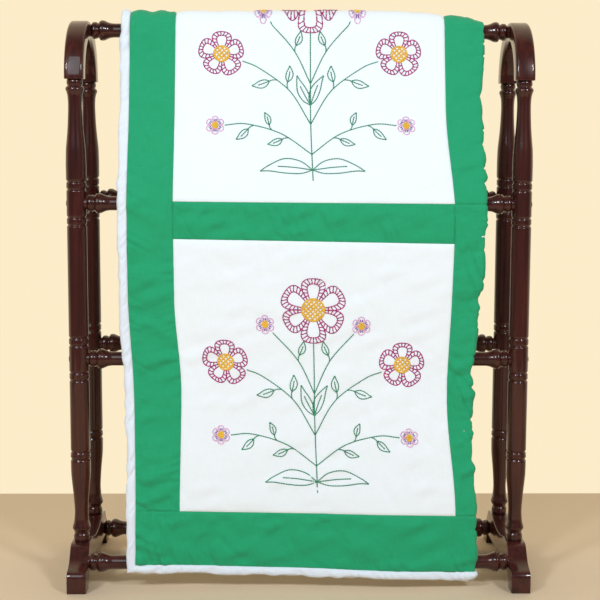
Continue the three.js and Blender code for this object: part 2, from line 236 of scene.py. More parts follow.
# ---------------------------------------------------------------- meshes
def mesh_object(name, points, faces, smooth=True):
    """A mesh object from points in millimetres."""
    mesh = bpy.data.meshes.new(name)
    mesh.from_pydata((np.asarray(points, float) * MM).tolist(), [], faces)
    if smooth:
        mesh.shade_smooth()
    mesh.update()
    piece = bpy.data.objects.new(name, mesh)
    bpy.context.scene.collection.objects.link(piece)
    return piece


def quad_object(name, points, quads):
    """The same for many quads, as arrays."""
    mesh = bpy.data.meshes.new(name)
    points, quads = np.asarray(points, float) * MM, np.asarray(quads, np.int32)
    mesh.vertices.add(len(points))
    mesh.vertices.foreach_set("co", points.astype(np.float32).ravel())
    mesh.loops.add(quads.size)
    mesh.loops.foreach_set("vertex_index", quads.ravel())
    mesh.polygons.add(len(quads))
    mesh.polygons.foreach_set("loop_start", np.arange(0, quads.size, 4, dtype=np.int32))
    mesh.update(calc_edges=True)
    mesh.shade_smooth()
    piece = bpy.data.objects.new(name, mesh)
    bpy.context.scene.collection.objects.link(piece)
    return piece


def cloth_map(piece, flat):
    """The UV map of a cloth piece: its place on the flat quilt, in metres."""
    mesh = piece.data
    corners = np.zeros(len(mesh.loops), np.int32)
    mesh.loops.foreach_get("vertex_index", corners)
    layer = mesh.uv_layers.new(name="cloth")
    layer.data.foreach_set("uv", (np.asarray(flat)[corners] * MM).astype(np.float32).ravel())


def vector_attribute(mesh, name, values):
    layer = mesh.attributes.new(name, "FLOAT_VECTOR", "POINT")
    layer.data.foreach_set("vector", np.asarray(values, np.float32).ravel())


def points_of(mesh):
    points = np.zeros(len(mesh.vertices) * 3, np.float32)
    mesh.vertices.foreach_get("co", points)
    return points.reshape(-1, 3).astype(float)


def grain_map(piece, along, seed):
    """Stores the place in the board that each point was cut from, with the grain along Z."""
    points = points_of(piece.data)
    order = {"X": (1, 2, 0), "Y": (2, 0, 1), "Z": (0, 1, 2)}[along]
    shift = np.random.RandomState(seed).uniform(0, 5, 3)
    vector_attribute(piece.data, "grain", points[:, order] + shift)


def apply_tree(piece, tree, **values):
    """Runs a node tree on a piece and keeps the result as its plain mesh."""
    modifier = piece.modifiers.new(tree.name, "NODES")
    modifier.node_group = tree
    sockets = {item.name: item.identifier for item in tree.interface.items_tree
               if item.item_type == "SOCKET" and item.in_out == "INPUT"}
    for name, value in values.items():
        modifier[sockets[name]] = value
    return keep_result(piece)


def keep_result(piece):
    """Turns a piece with modifiers into a plain mesh."""
    graph = bpy.context.evaluated_depsgraph_get()
    result = bpy.data.meshes.new_from_object(piece.evaluated_get(graph),
                                             preserve_all_data_layers=True, depsgraph=graph)
    spare = piece.data
    piece.modifiers.clear()
    piece.data = result
    result.name = piece.name
    bpy.data.meshes.remove(spare)
    return piece


def finish_piece(piece, body, material=None, nodes=()):
    if material is not None:
        piece.data.materials.clear()
        piece.data.materials.append(material)
    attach(piece, body)
    if nodes:
        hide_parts(*nodes)
    return piece


# ---------------------------------------------------------------- node trees
class Tree:
    """Adds nodes to a tree and joins them, with every node given its place."""

    def __init__(self, tree):
        self.tree = tree
        self.count = 0

    def node(self, kind, links=None, **values):
        made = self.tree.nodes.new(kind)
        made.location = (220 * (self.count % 8), -260 * (self.count // 8))
        self.count += 1
        for name, value in values.items():
            setattr(made, name, value)
        for name, value in (links or {}).items():
            socket = made.inputs[name]
            if isinstance(value, bpy.types.NodeSocket):
                self.tree.links.new(value, socket)
            else:
                socket.default_value = value
        return made


def geometry_tree(name, inputs):
    """A geometry tree with a geometry input, the named inputs and a geometry output."""
    tree = bpy.data.node_groups.new(name, "GeometryNodeTree")
    tree.interface.new_socket("Geometry", in_out="INPUT", socket_type="NodeSocketGeometry")
    for label, kind, default in inputs:
        socket = tree.interface.new_socket(label, in_out="INPUT", socket_type=kind)
        if default is not None:
            socket.default_value = default
    tree.interface.new_socket("Geometry", in_out="OUTPUT", socket_type="NodeSocketGeometry")
    build = Tree(tree)
    return build, build.node("NodeGroupInput").outputs


def end_tree(build, geometry, material):
    real = build.node("GeometryNodeRealizeInstances", {"Geometry": geometry})
    painted = build.node("GeometryNodeSetMaterial",
                         {"Geometry": real.outputs[0], "Material": material})
    build.node("NodeGroupOutput", {"Geometry": painted.outputs[0]})
    return build.tree


def turning_tree():
    """A line of points becomes a turned piece, as wide at each point as its turned_radius."""
    build, given = geometry_tree("Turning", [("Sides", "NodeSocketInt", 64),
                                             ("Material", "NodeSocketMaterial", None)])
    line = build.node("GeometryNodeMeshToCurve", {"Mesh": given["Geometry"]})
    circle = build.node("GeometryNodeCurvePrimitiveCircle",
                        {"Resolution": given["Sides"], "Radius": 1.0})
    radius = build.node("GeometryNodeInputNamedAttribute", {"Name": "turned_radius"},
                        data_type="FLOAT")
    turned = build.node("GeometryNodeCurveToMesh", {
        "Curve": line.outputs[0], "Profile Curve": circle.outputs[0],
        "Scale": radius.outputs["Attribute"], "Fill Caps": True})
    smooth = build.node("GeometryNodeSetShadeSmooth", {"Geometry": turned.outputs[0]})
    return end_tree(build, smooth.outputs[0], given["Material"])


def frustum(build, low_radius, high_radius, depth, start, sides):
    """A short cone from start upwards."""
    cone = build.node("GeometryNodeMeshCone", {
        "Vertices": sides, "Radius Bottom": low_radius, "Radius Top": high_radius,
        "Depth": depth})
    moved = build.node("GeometryNodeTransform", {
        "Geometry": cone.outputs["Mesh"], "Translation": (0, 0, start)})
    return moved.outputs[0]


# A fixing's cones along its axis: low radius, high radius, depth, start, sides.
SCREW_CONES = ((0.0003, 0.0025, 0.006, -0.045, 12), (0.0025, 0.0025, 0.0452, -0.039, 12),
               (0.0025, 0.0045, 0.0028, 0.0062, 20), (0.0045, 0.0043, 0.0007, 0.0090, 20))
PLUG_CONES = ((0.0057, 0.0057, 0.0055, -0.0058, 28), (0.0057, 0.0052, 0.0004, -0.0003, 28),
              (0.0052, 0.0030, 0.0003, 0.0001, 28))


def fixing_tree(name, cones):
    """Copies of a small turned fixing, one at each point, each facing along its way attribute."""
    build, given = geometry_tree(name, [("Material", "NodeSocketMaterial", None)])
    pieces = [frustum(build, *cone) for cone in cones]
    fixing = build.node("GeometryNodeJoinGeometry")
    for piece in pieces:
        build.tree.links.new(piece, fixing.inputs[0])
    way = build.node("GeometryNodeInputNamedAttribute", {"Name": "way"},
                     data_type="FLOAT_VECTOR")
    turn = build.node("FunctionNodeAlignRotationToVector",
                      {"Vector": way.outputs["Attribute"]}, axis="Z")
    copies = build.node("GeometryNodeInstanceOnPoints", {
        "Points": given["Geometry"], "Instance": fixing.outputs[0], "Rotation": turn.outputs[0]})
    return end_tree(build, copies.outputs[0], given["Material"])


def stitch_tree():
    """A thread stitch at each point: along and facing turn it, and size is its half sizes."""
    build, given = geometry_tree("Stitches", [("Detail", "NodeSocketInt", 1),
                                              ("Material", "NodeSocketMaterial", None)])
    points = build.node("GeometryNodeMeshToPoints", {"Mesh": given["Geometry"]})
    drop = build.node("GeometryNodeMeshIcoSphere",
                      {"Radius": 1.0, "Subdivisions": given["Detail"]})
    smooth = build.node("GeometryNodeSetShadeSmooth", {"Geometry": drop.outputs["Mesh"]})
    fields = {name: build.node("GeometryNodeInputNamedAttribute", {"Name": name},
                               data_type="FLOAT_VECTOR").outputs["Attribute"]
              for name in ("along", "facing", "size")}
    turn = build.node("FunctionNodeAxesToRotation", {
        "Primary Axis": fields["along"], "Secondary Axis": fields["facing"]},
        primary_axis="X", secondary_axis="Z")
    copies = build.node("GeometryNodeInstanceOnPoints", {
        "Points": points.outputs[0], "Instance": smooth.outputs[0],
        "Rotation": turn.outputs[0], "Scale": fields["size"]})
    return end_tree(build, copies.outputs[0], given["Material"])


def tree_named(name, make):
    return bpy.data.node_groups.get(name) or make()


# ---------------------------------------------------------------- materials
def new_material(name):
    material = bpy.data.materials.new(name)
    material.use_nodes = True
    build = Tree(material.node_tree)
    shader = material.node_tree.nodes["Principled BSDF"]
    shader.location = (2000, 0)
    material.node_tree.nodes["Material Output"].location = (2300, 0)
    return material, build, shader


def paint(build, shader, **values):
    for name, value in values.items():
        socket = shader.inputs[name.replace("_", " ").title().replace("Ior", "IOR")]
        if isinstance(value, bpy.types.NodeSocket):
            build.tree.links.new(value, socket)
        else:
            socket.default_value = value


def mix_colours(build, factor, first, second):
    mixed = build.node("ShaderNodeMix", data_type="RGBA")
    for name, value in (("Factor", factor), ("A", first), ("B", second)):
        socket = next(s for s in mixed.inputs if s.name == name and s.enabled)
        if isinstance(value, bpy.types.NodeSocket):
            build.tree.links.new(value, socket)
        else:
            socket.default_value = value
    return next(s for s in mixed.outputs if s.enabled)


def wood_material(settings):
    made = bpy.data.materials.get("polished_mahogany")
    if made:
        return made
    made, build, shader = new_material("polished_mahogany")
    grain = build.node("ShaderNodeAttribute", attribute_name="grain").outputs["Vector"]
    long_way = build.node("ShaderNodeMapping", {"Vector": grain, "Scale": (90, 90, 5)})
    figure = build.node("ShaderNodeTexNoise", {
        "Vector": long_way.outputs[0], "Scale": 1.0, "Detail": 5.0, "Roughness": 0.6,
        "Distortion": 0.6})
    shade = build.node("ShaderNodeMapRange", {
        "Value": figure.outputs["Fac"], "From Min": 0.3, "From Max": 0.72})
    body = mix_colours(build, shade.outputs[0], (*settings.wood_dark, 1),
                       (*settings.wood_light, 1))
    pore_way = build.node("ShaderNodeMapping", {"Vector": grain, "Scale": (900, 900, 28)})
    pores = build.node("ShaderNodeTexNoise", {
        "Vector": pore_way.outputs[0], "Scale": 1.0, "Detail": 2.0})
    dark = build.node("ShaderNodeMapRange", {
        "Value": pores.outputs["Fac"], "From Min": 0.62, "From Max": 0.76})
    stained = mix_colours(build, dark.outputs[0], body, (*settings.wood_dark, 1))
    wear = build.node("ShaderNodeMapRange", {
        "Value": figure.outputs["Fac"], "To Min": 0.24, "To Max": 0.36})
    bump = build.node("ShaderNodeBump", {
        "Height": pores.outputs["Fac"], "Strength": 0.06, "Distance": 0.0004})
    paint(build, shader, base_color=stained, roughness=wear.outputs[0],
          normal=bump.outputs[0], coat_weight=0.6, coat_roughness=0.05, coat_ior=1.5,
          specular_ior_level=0.18)
    return made


def steel_material(settings):
    made, build, shader = new_material("screw_steel")
    place = build.node("ShaderNodeTexCoord").outputs["Object"]
    marks = build.node("ShaderNodeTexNoise", {"Vector": place, "Scale": 900.0, "Detail": 3.0})
    rough = build.node("ShaderNodeMapRange", {
        "Value": marks.outputs["Fac"], "To Min": 0.25, "To Max": 0.5})
    tint = mix_colours(build, marks.outputs["Fac"], (*settings.steel, 1),
                       (*[part * 0.7 for part in settings.steel], 1))
    paint(build, shader, base_color=tint, metallic=1.0, roughness=rough.outputs[0])
    return made


def cotton_material(name, tint, weave=0.0007, sheen=0.14, slub=0.06):
    """Plain-woven cotton: threads across and along, slubs, and a faint unevenness of dye."""
    made = bpy.data.materials.get(name)
    if made:
        return made
    made, build, shader = new_material(name)
    place = build.node("ShaderNodeUVMap", uv_map="cloth").outputs[0]
    heights = []
    for direction, turn in (("X", 0.0), ("Y", 0.4)):
        threads = build.node("ShaderNodeTexWave", {
            "Vector": place, "Scale": 0.314 / weave, "Distortion": 0.5, "Detail": 1.0,
            "Detail Scale": 1.5, "Phase Offset": turn},
            wave_type="BANDS", bands_direction=direction)
        heights.append(threads.outputs["Fac"])
    weave_height = build.node("ShaderNodeMath", {0: heights[0], 1: heights[1]},
                              operation="MAXIMUM")
    slubs = []
    for scale in ((60, 900, 1), (900, 60, 1)):
        way = build.node("ShaderNodeMapping", {"Vector": place, "Scale": scale})
        slubs.append(build.node("ShaderNodeTexNoise", {
            "Vector": way.outputs[0], "Scale": 1.0, "Detail": 2.0}).outputs["Fac"])
    both = build.node("ShaderNodeMath", {0: slubs[0], 1: slubs[1]}, operation="ADD")
    even = build.node("ShaderNodeTexNoise", {"Vector": place, "Scale": 9.0, "Detail": 3.0})
    streak = build.node("ShaderNodeMapRange", {
        "Value": both.outputs[0], "From Min": 0.7, "From Max": 1.3})
    darker = (*[part * (1 - slub) for part in tint], 1)
    lighter = (*[min(part * (1 + slub), 1.0) for part in tint], 1)
    thread_tint = mix_colours(build, streak.outputs[0], darker, lighter)
    shade = build.node("ShaderNodeMapRange", {
        "Value": even.outputs["Fac"], "From Min": 0.3, "From Max": 0.7,
        "To Min": 0.0, "To Max": slub * 2})
    dyed = mix_colours(build, shade.outputs[0], thread_tint,
                       (*[part * 0.75 for part in tint], 1))
    fine = build.node("ShaderNodeBump", {
        "Height": weave_height.outputs[0], "Strength": 0.25, "Distance": 0.00012})
    soft = build.node("ShaderNodeBump", {
        "Height": both.outputs[0], "Strength": 0.3, "Distance": 0.00015,
        "Normal": fine.outputs[0]})
    paint(build, shader, base_color=dyed, roughness=0.85, normal=soft.outputs[0],
          sheen_weight=sheen, sheen_roughness=0.5, specular_ior_level=0.25)
    return made


def thread_material(name, tint):
    """Stranded cotton: a soft gloss, with the twist of its strands."""
    made = bpy.data.materials.get(name)
    if made:
        return made
    made, build, shader = new_material(name)
    place = build.node("ShaderNodeTexCoord").outputs["Object"]
    strands = build.node("ShaderNodeTexNoise", {"Vector": place, "Scale": 1500.0, "Detail": 2.0})
    tone = build.node("ShaderNodeTexNoise", {"Vector": place, "Scale": 60.0, "Detail": 2.0})
    tinted = mix_colours(build, tone.outputs["Fac"], (*[part * 0.75 for part in tint], 1),
                         (*[min(part * 1.2, 1.0) for part in tint], 1))
    bump = build.node("ShaderNodeBump", {
        "Height": strands.outputs["Fac"], "Strength": 0.5, "Distance": 0.0002})
    paint(build, shader, base_color=tinted, roughness=0.5, normal=bump.outputs[0],
          sheen_weight=0.2)
    return made


# ---------------------------------------------------------------- turned wood
BEAD_PITCH = 6.3
GROOVE_RADIUS = 13.4
BLOCK_HALF = 22.5


def fine_places(start, end, details):
    """Places along an axis, close together near the details and further apart elsewhere."""
    places = list(np.arange(start, end, 5.0)) + [end]
    for detail, reach in details:
        places += list(np.arange(max(detail - reach, start), min(detail + reach, end), 0.7))
    return np.unique(np.round(places, 2))


def cut_grooves(places, radii, grooves, shoulder=BEAD_PITCH):
    """Cuts narrow grooves with rounded shoulders. Two grooves near each other leave a bead."""
    for place, radius in grooves:
        away = np.clip(np.abs(places - place) / shoulder, 0, 1)
        crown = 16.6
        rise = np.sqrt(np.clip(1 - (1 - away) ** 2, 0, 1))
        radii = np.where(away < 1, np.minimum(radii, radius + (crown - radius) * rise), radii)
    return radii


def turned_piece(name, axis, centre, places, radii, settings, seed):
    """A turned piece along X or Z. centre gives its place on the other two axes."""
    points = np.zeros((len(places), 3))
    if axis == "X":
        points[:, 0], points[:, 1:] = places, centre
    else:
        points[:, 2], points[:, :2] = places, centre
    mesh = bpy.data.meshes.new(name)
    edges = [(i, i + 1) for i in range(len(places) - 1)]
    mesh.from_pydata((points * MM).tolist(), edges, [])
    layer = mesh.attributes.new("turned_radius", "FLOAT", "POINT")
    layer.data.foreach_set("value", (np.asarray(radii) * MM).astype(np.float32))
    piece = bpy.data.objects.new(name, mesh)
    bpy.context.scene.collection.objects.link(piece)
    apply_tree(piece, tree_named("Turning", turning_tree), Sides=settings.turned_sides,
               Material=wood_material(settings))
    grain_map(piece, axis, seed)
    return piece


def post_shape():
    """Places and radii of a post, from its seat on the foot up to the arch."""
    upper, lower = RAIL_AXES["upper_front"][1], RAIL_AXES["lower_front"][1]
    vase_bead = SEAT + 145.6
    offset = BLOCK_HALF + BEAD_PITCH * 2
    body = [
        (SEAT, 12.2), (SEAT + 4, 13.2), (SEAT + 10, 13.0), (SEAT + 14, 11.6),
        (SEAT + 18, 13.2), (SEAT + 22, 15.0), (SEAT + 25, 14.6), (SEAT + 33, 12.4),
        (SEAT + 42, 11.5), (SEAT + 50, 11.1), (SEAT + 68, 12.0), (SEAT + 84, 13.2),
        (SEAT + 100, 14.8), (SEAT + 117, 16.1), (SEAT + 130, 16.3), (vase_bead, 16.5),
        (upper + offset, 16.4), (upper + offset + 26, 16.5), (upper + offset + 36, 16.3),
        (upper + offset + 50, 15.9), (upper + offset + 66, 14.4), (upper + offset + 82, 12.9),
        (upper + offset + 98, 11.9), (upper + offset + 124, 11.1), (SPRING - 28, 11.7),
        (SPRING - 20, 13.4), (SPRING - 16, 15.0), (SPRING - 13, 14.2), (SPRING - 10, 11.6),
        (SPRING - 7.5, 12.7), (SPRING - 4, 13.0), (SPRING, 12.0),
    ]
    grooves = [(vase_bead + side * BEAD_PITCH, GROOVE_RADIUS) for side in (-1, 1)]
    for rail in (lower, upper):
        for side in (-1, 1):
            for step in (0, 2):
                grooves.append((rail + side * (BLOCK_HALF + step * BEAD_PITCH), GROOVE_RADIUS))
    ends = [(SEAT + 14, 15), (SPRING - 13, 14)]
    near = [(place, 8) for place, _ in grooves] + ends
    places = fine_places(SEAT - 12, SPRING + 8, near)
    radii = smooth_curve(body, places)
    radii = np.where((places > vase_bead) & (places < upper + offset), 16.1, radii)
    radii = cut_grooves(places, radii, grooves)
    tenon = (places < SEAT) | (places > SPRING)
    return places, np.where(tenon, 9.0, radii)


def rail_shape():
    """Places along X and radii of a rail."""
    end = [
        (7, 10.0), (17.6, 10.0), (19.2, 12.6), (21, 13.6), (23.4, 13.9), (26, 13.6),
        (28.3, 12.4), (29.5, 11.8), (30.6, 13.6), (32.2, 15.6), (35, 16.6), (38, 16.5),
        (42, 15.0), (46, 13.2), (50, 12.1), (56, 11.5), (70, 11.5),
    ]
    inset = np.concatenate([np.arange(7, 60, 0.8), np.arange(60, FRAME_PLACE, 30)])
    radii = smooth_curve(end, inset)
    places = np.concatenate([-FRAME_PLACE + inset, (FRAME_PLACE - inset)[::-1]])
    return places, np.concatenate([radii, radii[::-1]])


# ---------------------------------------------------------------- boards
def arch_mesh(name, end, settings):
    """A half ring of square section with rounded edges, standing on the two posts."""
    edge = settings.arch_edge / MM
    half = BOARD_HALF
    turn = np.linspace(0, math.pi / 2, 6)
    section = []
    for quarter, (x, r) in enumerate(((1, 1), (-1, 1), (-1, -1), (1, -1))):
        angles = turn + quarter * math.pi / 2
        section += [(x * (half - edge) + edge * math.cos(a), r * (half - edge) + edge * math.sin(a))
                    for a in angles]
    section = np.array(section)
    stops = [(0, 0, 0.955), (0, 0.5, 0.985), (0, 1.4, 1.0)]
    rings = []
    bend = ARCH_REACH - half
    for _, rise, scale in stops:
        rings.append((rise / bend, scale))
    rings += [(angle, 1.0) for angle in np.linspace(0.06, math.pi - 0.06, 72)]
    rings += [(math.pi - angle, scale) for angle, scale in rings[2::-1]]
    points = []
    for angle, scale in rings:
        reach = bend + section[:, 1] * scale
        points.append(np.column_stack([
            end * FRAME_PLACE + section[:, 0] * scale,
            reach * math.cos(angle), SPRING + reach * math.sin(angle)]))
    count, total = len(section), len(rings)
    faces = [(i * count + j, i * count + (j + 1) % count,
              (i + 1) * count + (j + 1) % count, (i + 1) * count + j)
             for i in range(total - 1) for j in range(count)]
    faces.append(tuple(range(count))[::-1])
    faces.append(tuple((total - 1) * count + j for j in range(count)))
    piece = mesh_object(name, np.concatenate(points), faces)
    outward(piece.data)
    piece.data.set_sharp_from_angle(angle=math.radians(50))
    return piece


def outward(mesh):
    shape = bmesh.new()
    shape.from_mesh(mesh)
    bmesh.ops.remove_doubles(shape, verts=shape.verts, dist=1e-7)
    bmesh.ops.recalc_face_normals(shape, faces=shape.faces)
    shape.to_mesh(mesh)
    shape.free()
    mesh.shade_smooth()


def foot_outline():
    """The outline of a foot as (ahead of the middle, height), once round."""
    seat_edge = POST_LINE + POST_HALF
    top = [(0, SEAT - 9), (16, SEAT - 8.6), (32, SEAT - 6.6), (48, SEAT - 3),
           (57, SEAT - 0.8), (62, SEAT)]
    slope = [(seat_edge, SEAT), (seat_edge + 4, SEAT - 0.8), (seat_edge + 9, SEAT - 3.4),
             (seat_edge + 14, SEAT - 8.2), (seat_edge + 19, SEAT - 14),
             (seat_edge + 24, SEAT - 19.4), (seat_edge + 30, SEAT - 24.4),
             (seat_edge + 37, SEAT - 28), (TOE - 15, 37.6), (TOE - 9, 36.0), (TOE - 5, 34.2),
             (TOE - 2, 31.2), (TOE - 0.4, 27.6), (TOE, 24), (TOE, 1.2), (TOE - 1.2, 0)]
    heel = [(TOE - 34, 0), (TOE - 35, 1.2), (TOE - 36, 7), (TOE - 38, 13), (TOE - 41.5, 18),
            (TOE - 46, 21), (TOE - 52, 22), (TOE - 80, 22), (0, 22)]
    side = top + slope + heel
    other = [(-along, height) for along, height in side[::-1][1:-1]]
    return side + other


def foot_mesh(name, end, settings):
    outline = foot_outline()
    shape = bmesh.new()
    ring = [shape.verts.new(((end * FRAME_PLACE - BOARD_HALF) * MM, y * MM, z * MM))
            for y, z in outline]
    face = shape.faces.new(ring)
    made = bmesh.ops.extrude_face_region(shape, geom=[face])
    moved = [item for item in made["geom"] if isinstance(item, bmesh.types.BMVert)]
    bmesh.ops.translate(shape, verts=moved, vec=(2 * BOARD_HALF * MM, 0, 0))
    bmesh.ops.recalc_face_normals(shape, faces=shape.faces)
    mesh = bpy.data.meshes.new(name)
    shape.to_mesh(mesh)
    shape.free()
    piece = bpy.data.objects.new(name, mesh)
    bpy.context.scene.collection.objects.link(piece)
    bevel = piece.modifiers.new("Edges", "BEVEL")
    bevel.width = settings.foot_edge
    bevel.segments = 4
    bevel.limit_method = "ANGLE"
    bevel.angle_limit = math.radians(40)
    keep_result(piece)
    piece.data.shade_smooth()
    piece.data.set_sharp_from_angle(angle=math.radians(32))
    return piece


# ---------------------------------------------------------------- how the quilt hangs
# Places on the flat quilt are across, from the outer half's bound edge, and up, from the front
# hem. Columns below are (up, X) or (up, across). Creases of the fold are (up, depth, half width)
# and the loft over the top rail is (X, times the plain thickness).
OUTER_EDGE = ((0, -280.5), (110, -280.5), (290, -284.5), (450, -292.5), (610, -293.5), (760, -292),
              (905, -292.5), (1250, -290), (1654, -288))
BLOCK_LEFT = ((0, -195), (110, -194.5), (290, -192), (450, -203), (610, -204), (760, -203),
              (905, -203), (1250, -200), (1654, -199))
BLOCK_RIGHT = ((0, 257), (110, 255), (290, 241), (450, 247), (575, 250), (760, 237.5),
               (905, 237.5), (1250, 244), (1654, 247))
FOLD_EDGE = ((0, 291), (110, 290), (290, 283), (450, 293), (590, 303), (760, 297.5),
             (905, 305), (1250, 300), (1654, 294))
FOLD_LINE = ((0, 572), (110, 572), (290, 581), (450, 584), (590, 590), (760, 598),
             (905, 605), (1250, 594), (1654, 580))
HEM_DROP = ((0, -5), (15, -5.8), (100, 0), (1654, 0))
SKEW = ((0, -0.026), (100, -0.017), (545, -0.0155), (610, -0.0036), (660, 0), (1654, 0))
CREASES = ((783, 5.2, 8), (703, 1.8, 6), (640, 1.4, 6), (330, 1.2, 6), (256, 3.2, 5),
           (229, 3.4, 6), (198, 1.8, 7), (150, 1.0, 6), (60, 1.4, 7))
CREST_LOFT = ((150, 1.72), (245, 1.26), (275, 0.95), (302, 0.5))
LAYER_HALF = 2.5
TURN_RADIUS = 3.0
MID_GAP = 5.5
WRAP = 12.0
CREST = 914.0
CLEAR = 11.9
SEAM_ROUND = 11
DITCH_DEPTH, DITCH_HALF = 1.3, 2.0
DRAG_DEPTH = 3.4
RUMPLE = 3.6
DEEPEST = 2.2
BINDING_PUFF, BINDING_VALLEY = 4.6, 3.0
CORNER_QUIET = 20


def hanging_path(total, hem):
    """Length, place and outward direction along the inner face, from hem to hem."""
    upper, lower = RAIL_AXES["upper_front"][1], RAIL_AXES["lower_front"][1]
    top = RAIL_AXES["top"][1]
    bottom_y, bottom_z = RAIL_AXES["bottom_front"]
    lean = math.atan2(POST_LINE, top - upper)
    front, kick = bottom_y - WRAP, lower + 45
    pieces = []

    def line(start, end, count=40):
        part = np.linspace(0, 1, count, endpoint=False)[:, None]
        pieces.append(np.array(start) * (1 - part) + np.array(end) * part)

    def arc(centre, start, end, count=40):
        angle = np.linspace(start, end, count)
        pieces.append(np.column_stack([centre[0] + WRAP * np.cos(angle),
                                       centre[1] + WRAP * np.sin(angle)]))

    line((front, hem - 30), (front, bottom_z + 12))
    part = np.linspace(0, 1, 160, endpoint=False)[:, None]
    knots = [np.array(p) for p in ((front, bottom_z + 12), (front, bottom_z + 120),
                                   (-POST_LINE - WRAP, kick - 150), (-POST_LINE - WRAP, kick))]
    pieces.append((1 - part) ** 3 * knots[0] + 3 * (1 - part) ** 2 * part * knots[1]
                  + 3 * (1 - part) * part ** 2 * knots[2] + part ** 3 * knots[3])
    line(knots[3], (-POST_LINE - WRAP, upper))
    arc((-POST_LINE, upper), math.pi, math.pi - lean)
    arc((0, top), math.pi - lean, lean)
    arc((POST_LINE, upper), lean, 0)
    pieces.append(np.array([[POST_LINE + WRAP, 20.0]]))
    places = np.concatenate(pieces)
    gone = np.concatenate([[0], np.cumsum(np.hypot(*np.diff(places, axis=0).T))]) - 30
    fine = np.arange(-30, total + 30, 1.0)
    places = np.column_stack([np.interp(fine, gone, places[:, k]) for k in (0, 1)])
    way = np.gradient(places, axis=0)
    for k in (0, 1):
        way[:, k] = np.convolve(np.pad(way[:, k], 3, mode="edge"), np.ones(7) / 7, "valid")
    way /= np.hypot(*way.T)[:, None]
    return fine, places, np.column_stack([-way[:, 1], way[:, 0]])


class Hanging:
    """Carries places on the flat quilt to where they hang."""

    def __init__(self, settings):
        self.width = settings.width / MM
        self.length = settings.length / MM
        self.side = (settings.binding + settings.side_border) / MM
        self.block = settings.block / MM
        self.wave = settings.wave / MM
        self.pucker = settings.pucker / MM
        self.path = hanging_path(self.length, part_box("quilt_panel")[0].z / MM
                                 - settings.binding / MM)

    def creases(self, up):
        """Depth of the sharp little folds that run in from the lengthwise fold."""
        small = np.clip(1 - np.abs(noise(up, 21, 12)) * 3.4, 0, 1) ** 2
        depth = small * self.pucker * 0.5
        for place, deep, half in CREASES:
            depth = depth + deep * np.exp(-np.abs(up - place) / half)
        return depth

    def across_to_x(self, across, up):
        """X of a place on either half, without the turn round the fold, and the fold's side."""
        fold = smooth_curve(FOLD_LINE, up)
        left, right = smooth_curve(OUTER_EDGE, up), smooth_curve(FOLD_EDGE, up)
        block_left, block_right = smooth_curve(BLOCK_LEFT, up), smooth_curve(BLOCK_RIGHT, up)
        reach = math.pi / 2 * TURN_RADIUS
        centre = right - TURN_RADIUS - LAYER_HALF
        first, second = self.side, self.side + self.block
        x = np.where(across < first, left + (block_left - left) * across / first,
                     block_left + (block_right - block_left) * (across - first) / self.block)
        last = np.maximum(fold - reach - second, 1)
        x = np.where(across > second,
                     block_right + (centre - block_right) * (across - second) / last, x)
        beyond = across - fold - reach
        x = np.where(across > fold - reach, centre, x)
        x = np.where(beyond > 0, centre - beyond * 0.985, x)
        return x, np.clip((across - fold) / reach, -1, 1), np.abs(across - fold)

    def sway(self, x, along):
        """Soft waves that both halves share, in millimetres outwards."""
        free = ease((330 - along) / 300) + 0.55 * ease((along - 1180) / 300)
        long_wave = noise_2d(x, along, 150, 420, 21) * self.wave * (0.25 + free)
        slant = noise_2d(x + along * 0.6, along, 85, 160, 22) * self.wave * 0.28
        return long_wave + slant

    def __call__(self, across, up, lift):
        """Places in millimetres. lift is the distance from the middle of the quilt's
        thickness towards its patchwork side."""
        across, up, lift = (np.asarray(a, float) for a in np.broadcast_arrays(across, up, lift))
        x, side, away = self.across_to_x(across, up)
        angle = -math.pi / 2 * side
        facing_x, facing_out = np.cos(angle), np.sin(angle)
        crease = self.creases(up + away * 0.12) * np.exp(-away / 28)
        along = up + smooth_curve(SKEW, up) * (x + 20) + smooth_curve(HEM_DROP, up)
        loft = smooth_curve(CREST_LOFT, x) - 1
        thick = 1 + loft * np.exp(-((along - CREST) / 55) ** 2)
        lift = lift * thick
        out = (MID_GAP + TURN_RADIUS * facing_out) * thick + lift * facing_out
        x = x + (TURN_RADIUS + lift) * np.maximum(facing_x, 0) - crease * facing_x
        out = out - crease * facing_out * 0.75
        out = out + self.sway(x, along)
        fine, places, normals = self.path
        y = np.interp(along, fine, places[:, 0]) + out * np.interp(along, fine, normals[:, 0])
        z = np.interp(along, fine, places[:, 1]) + out * np.interp(along, fine, normals[:, 1])
        for rail_y, rail_z in RAIL_AXES.values():
            gap = np.hypot(y - rail_y, z - rail_z)
            push = np.maximum(CLEAR / np.maximum(gap, 1e-6), 1)
            y, z = rail_y + (y - rail_y) * push, rail_z + (z - rail_z) * push
        return np.stack([x, y, z], axis=-1)


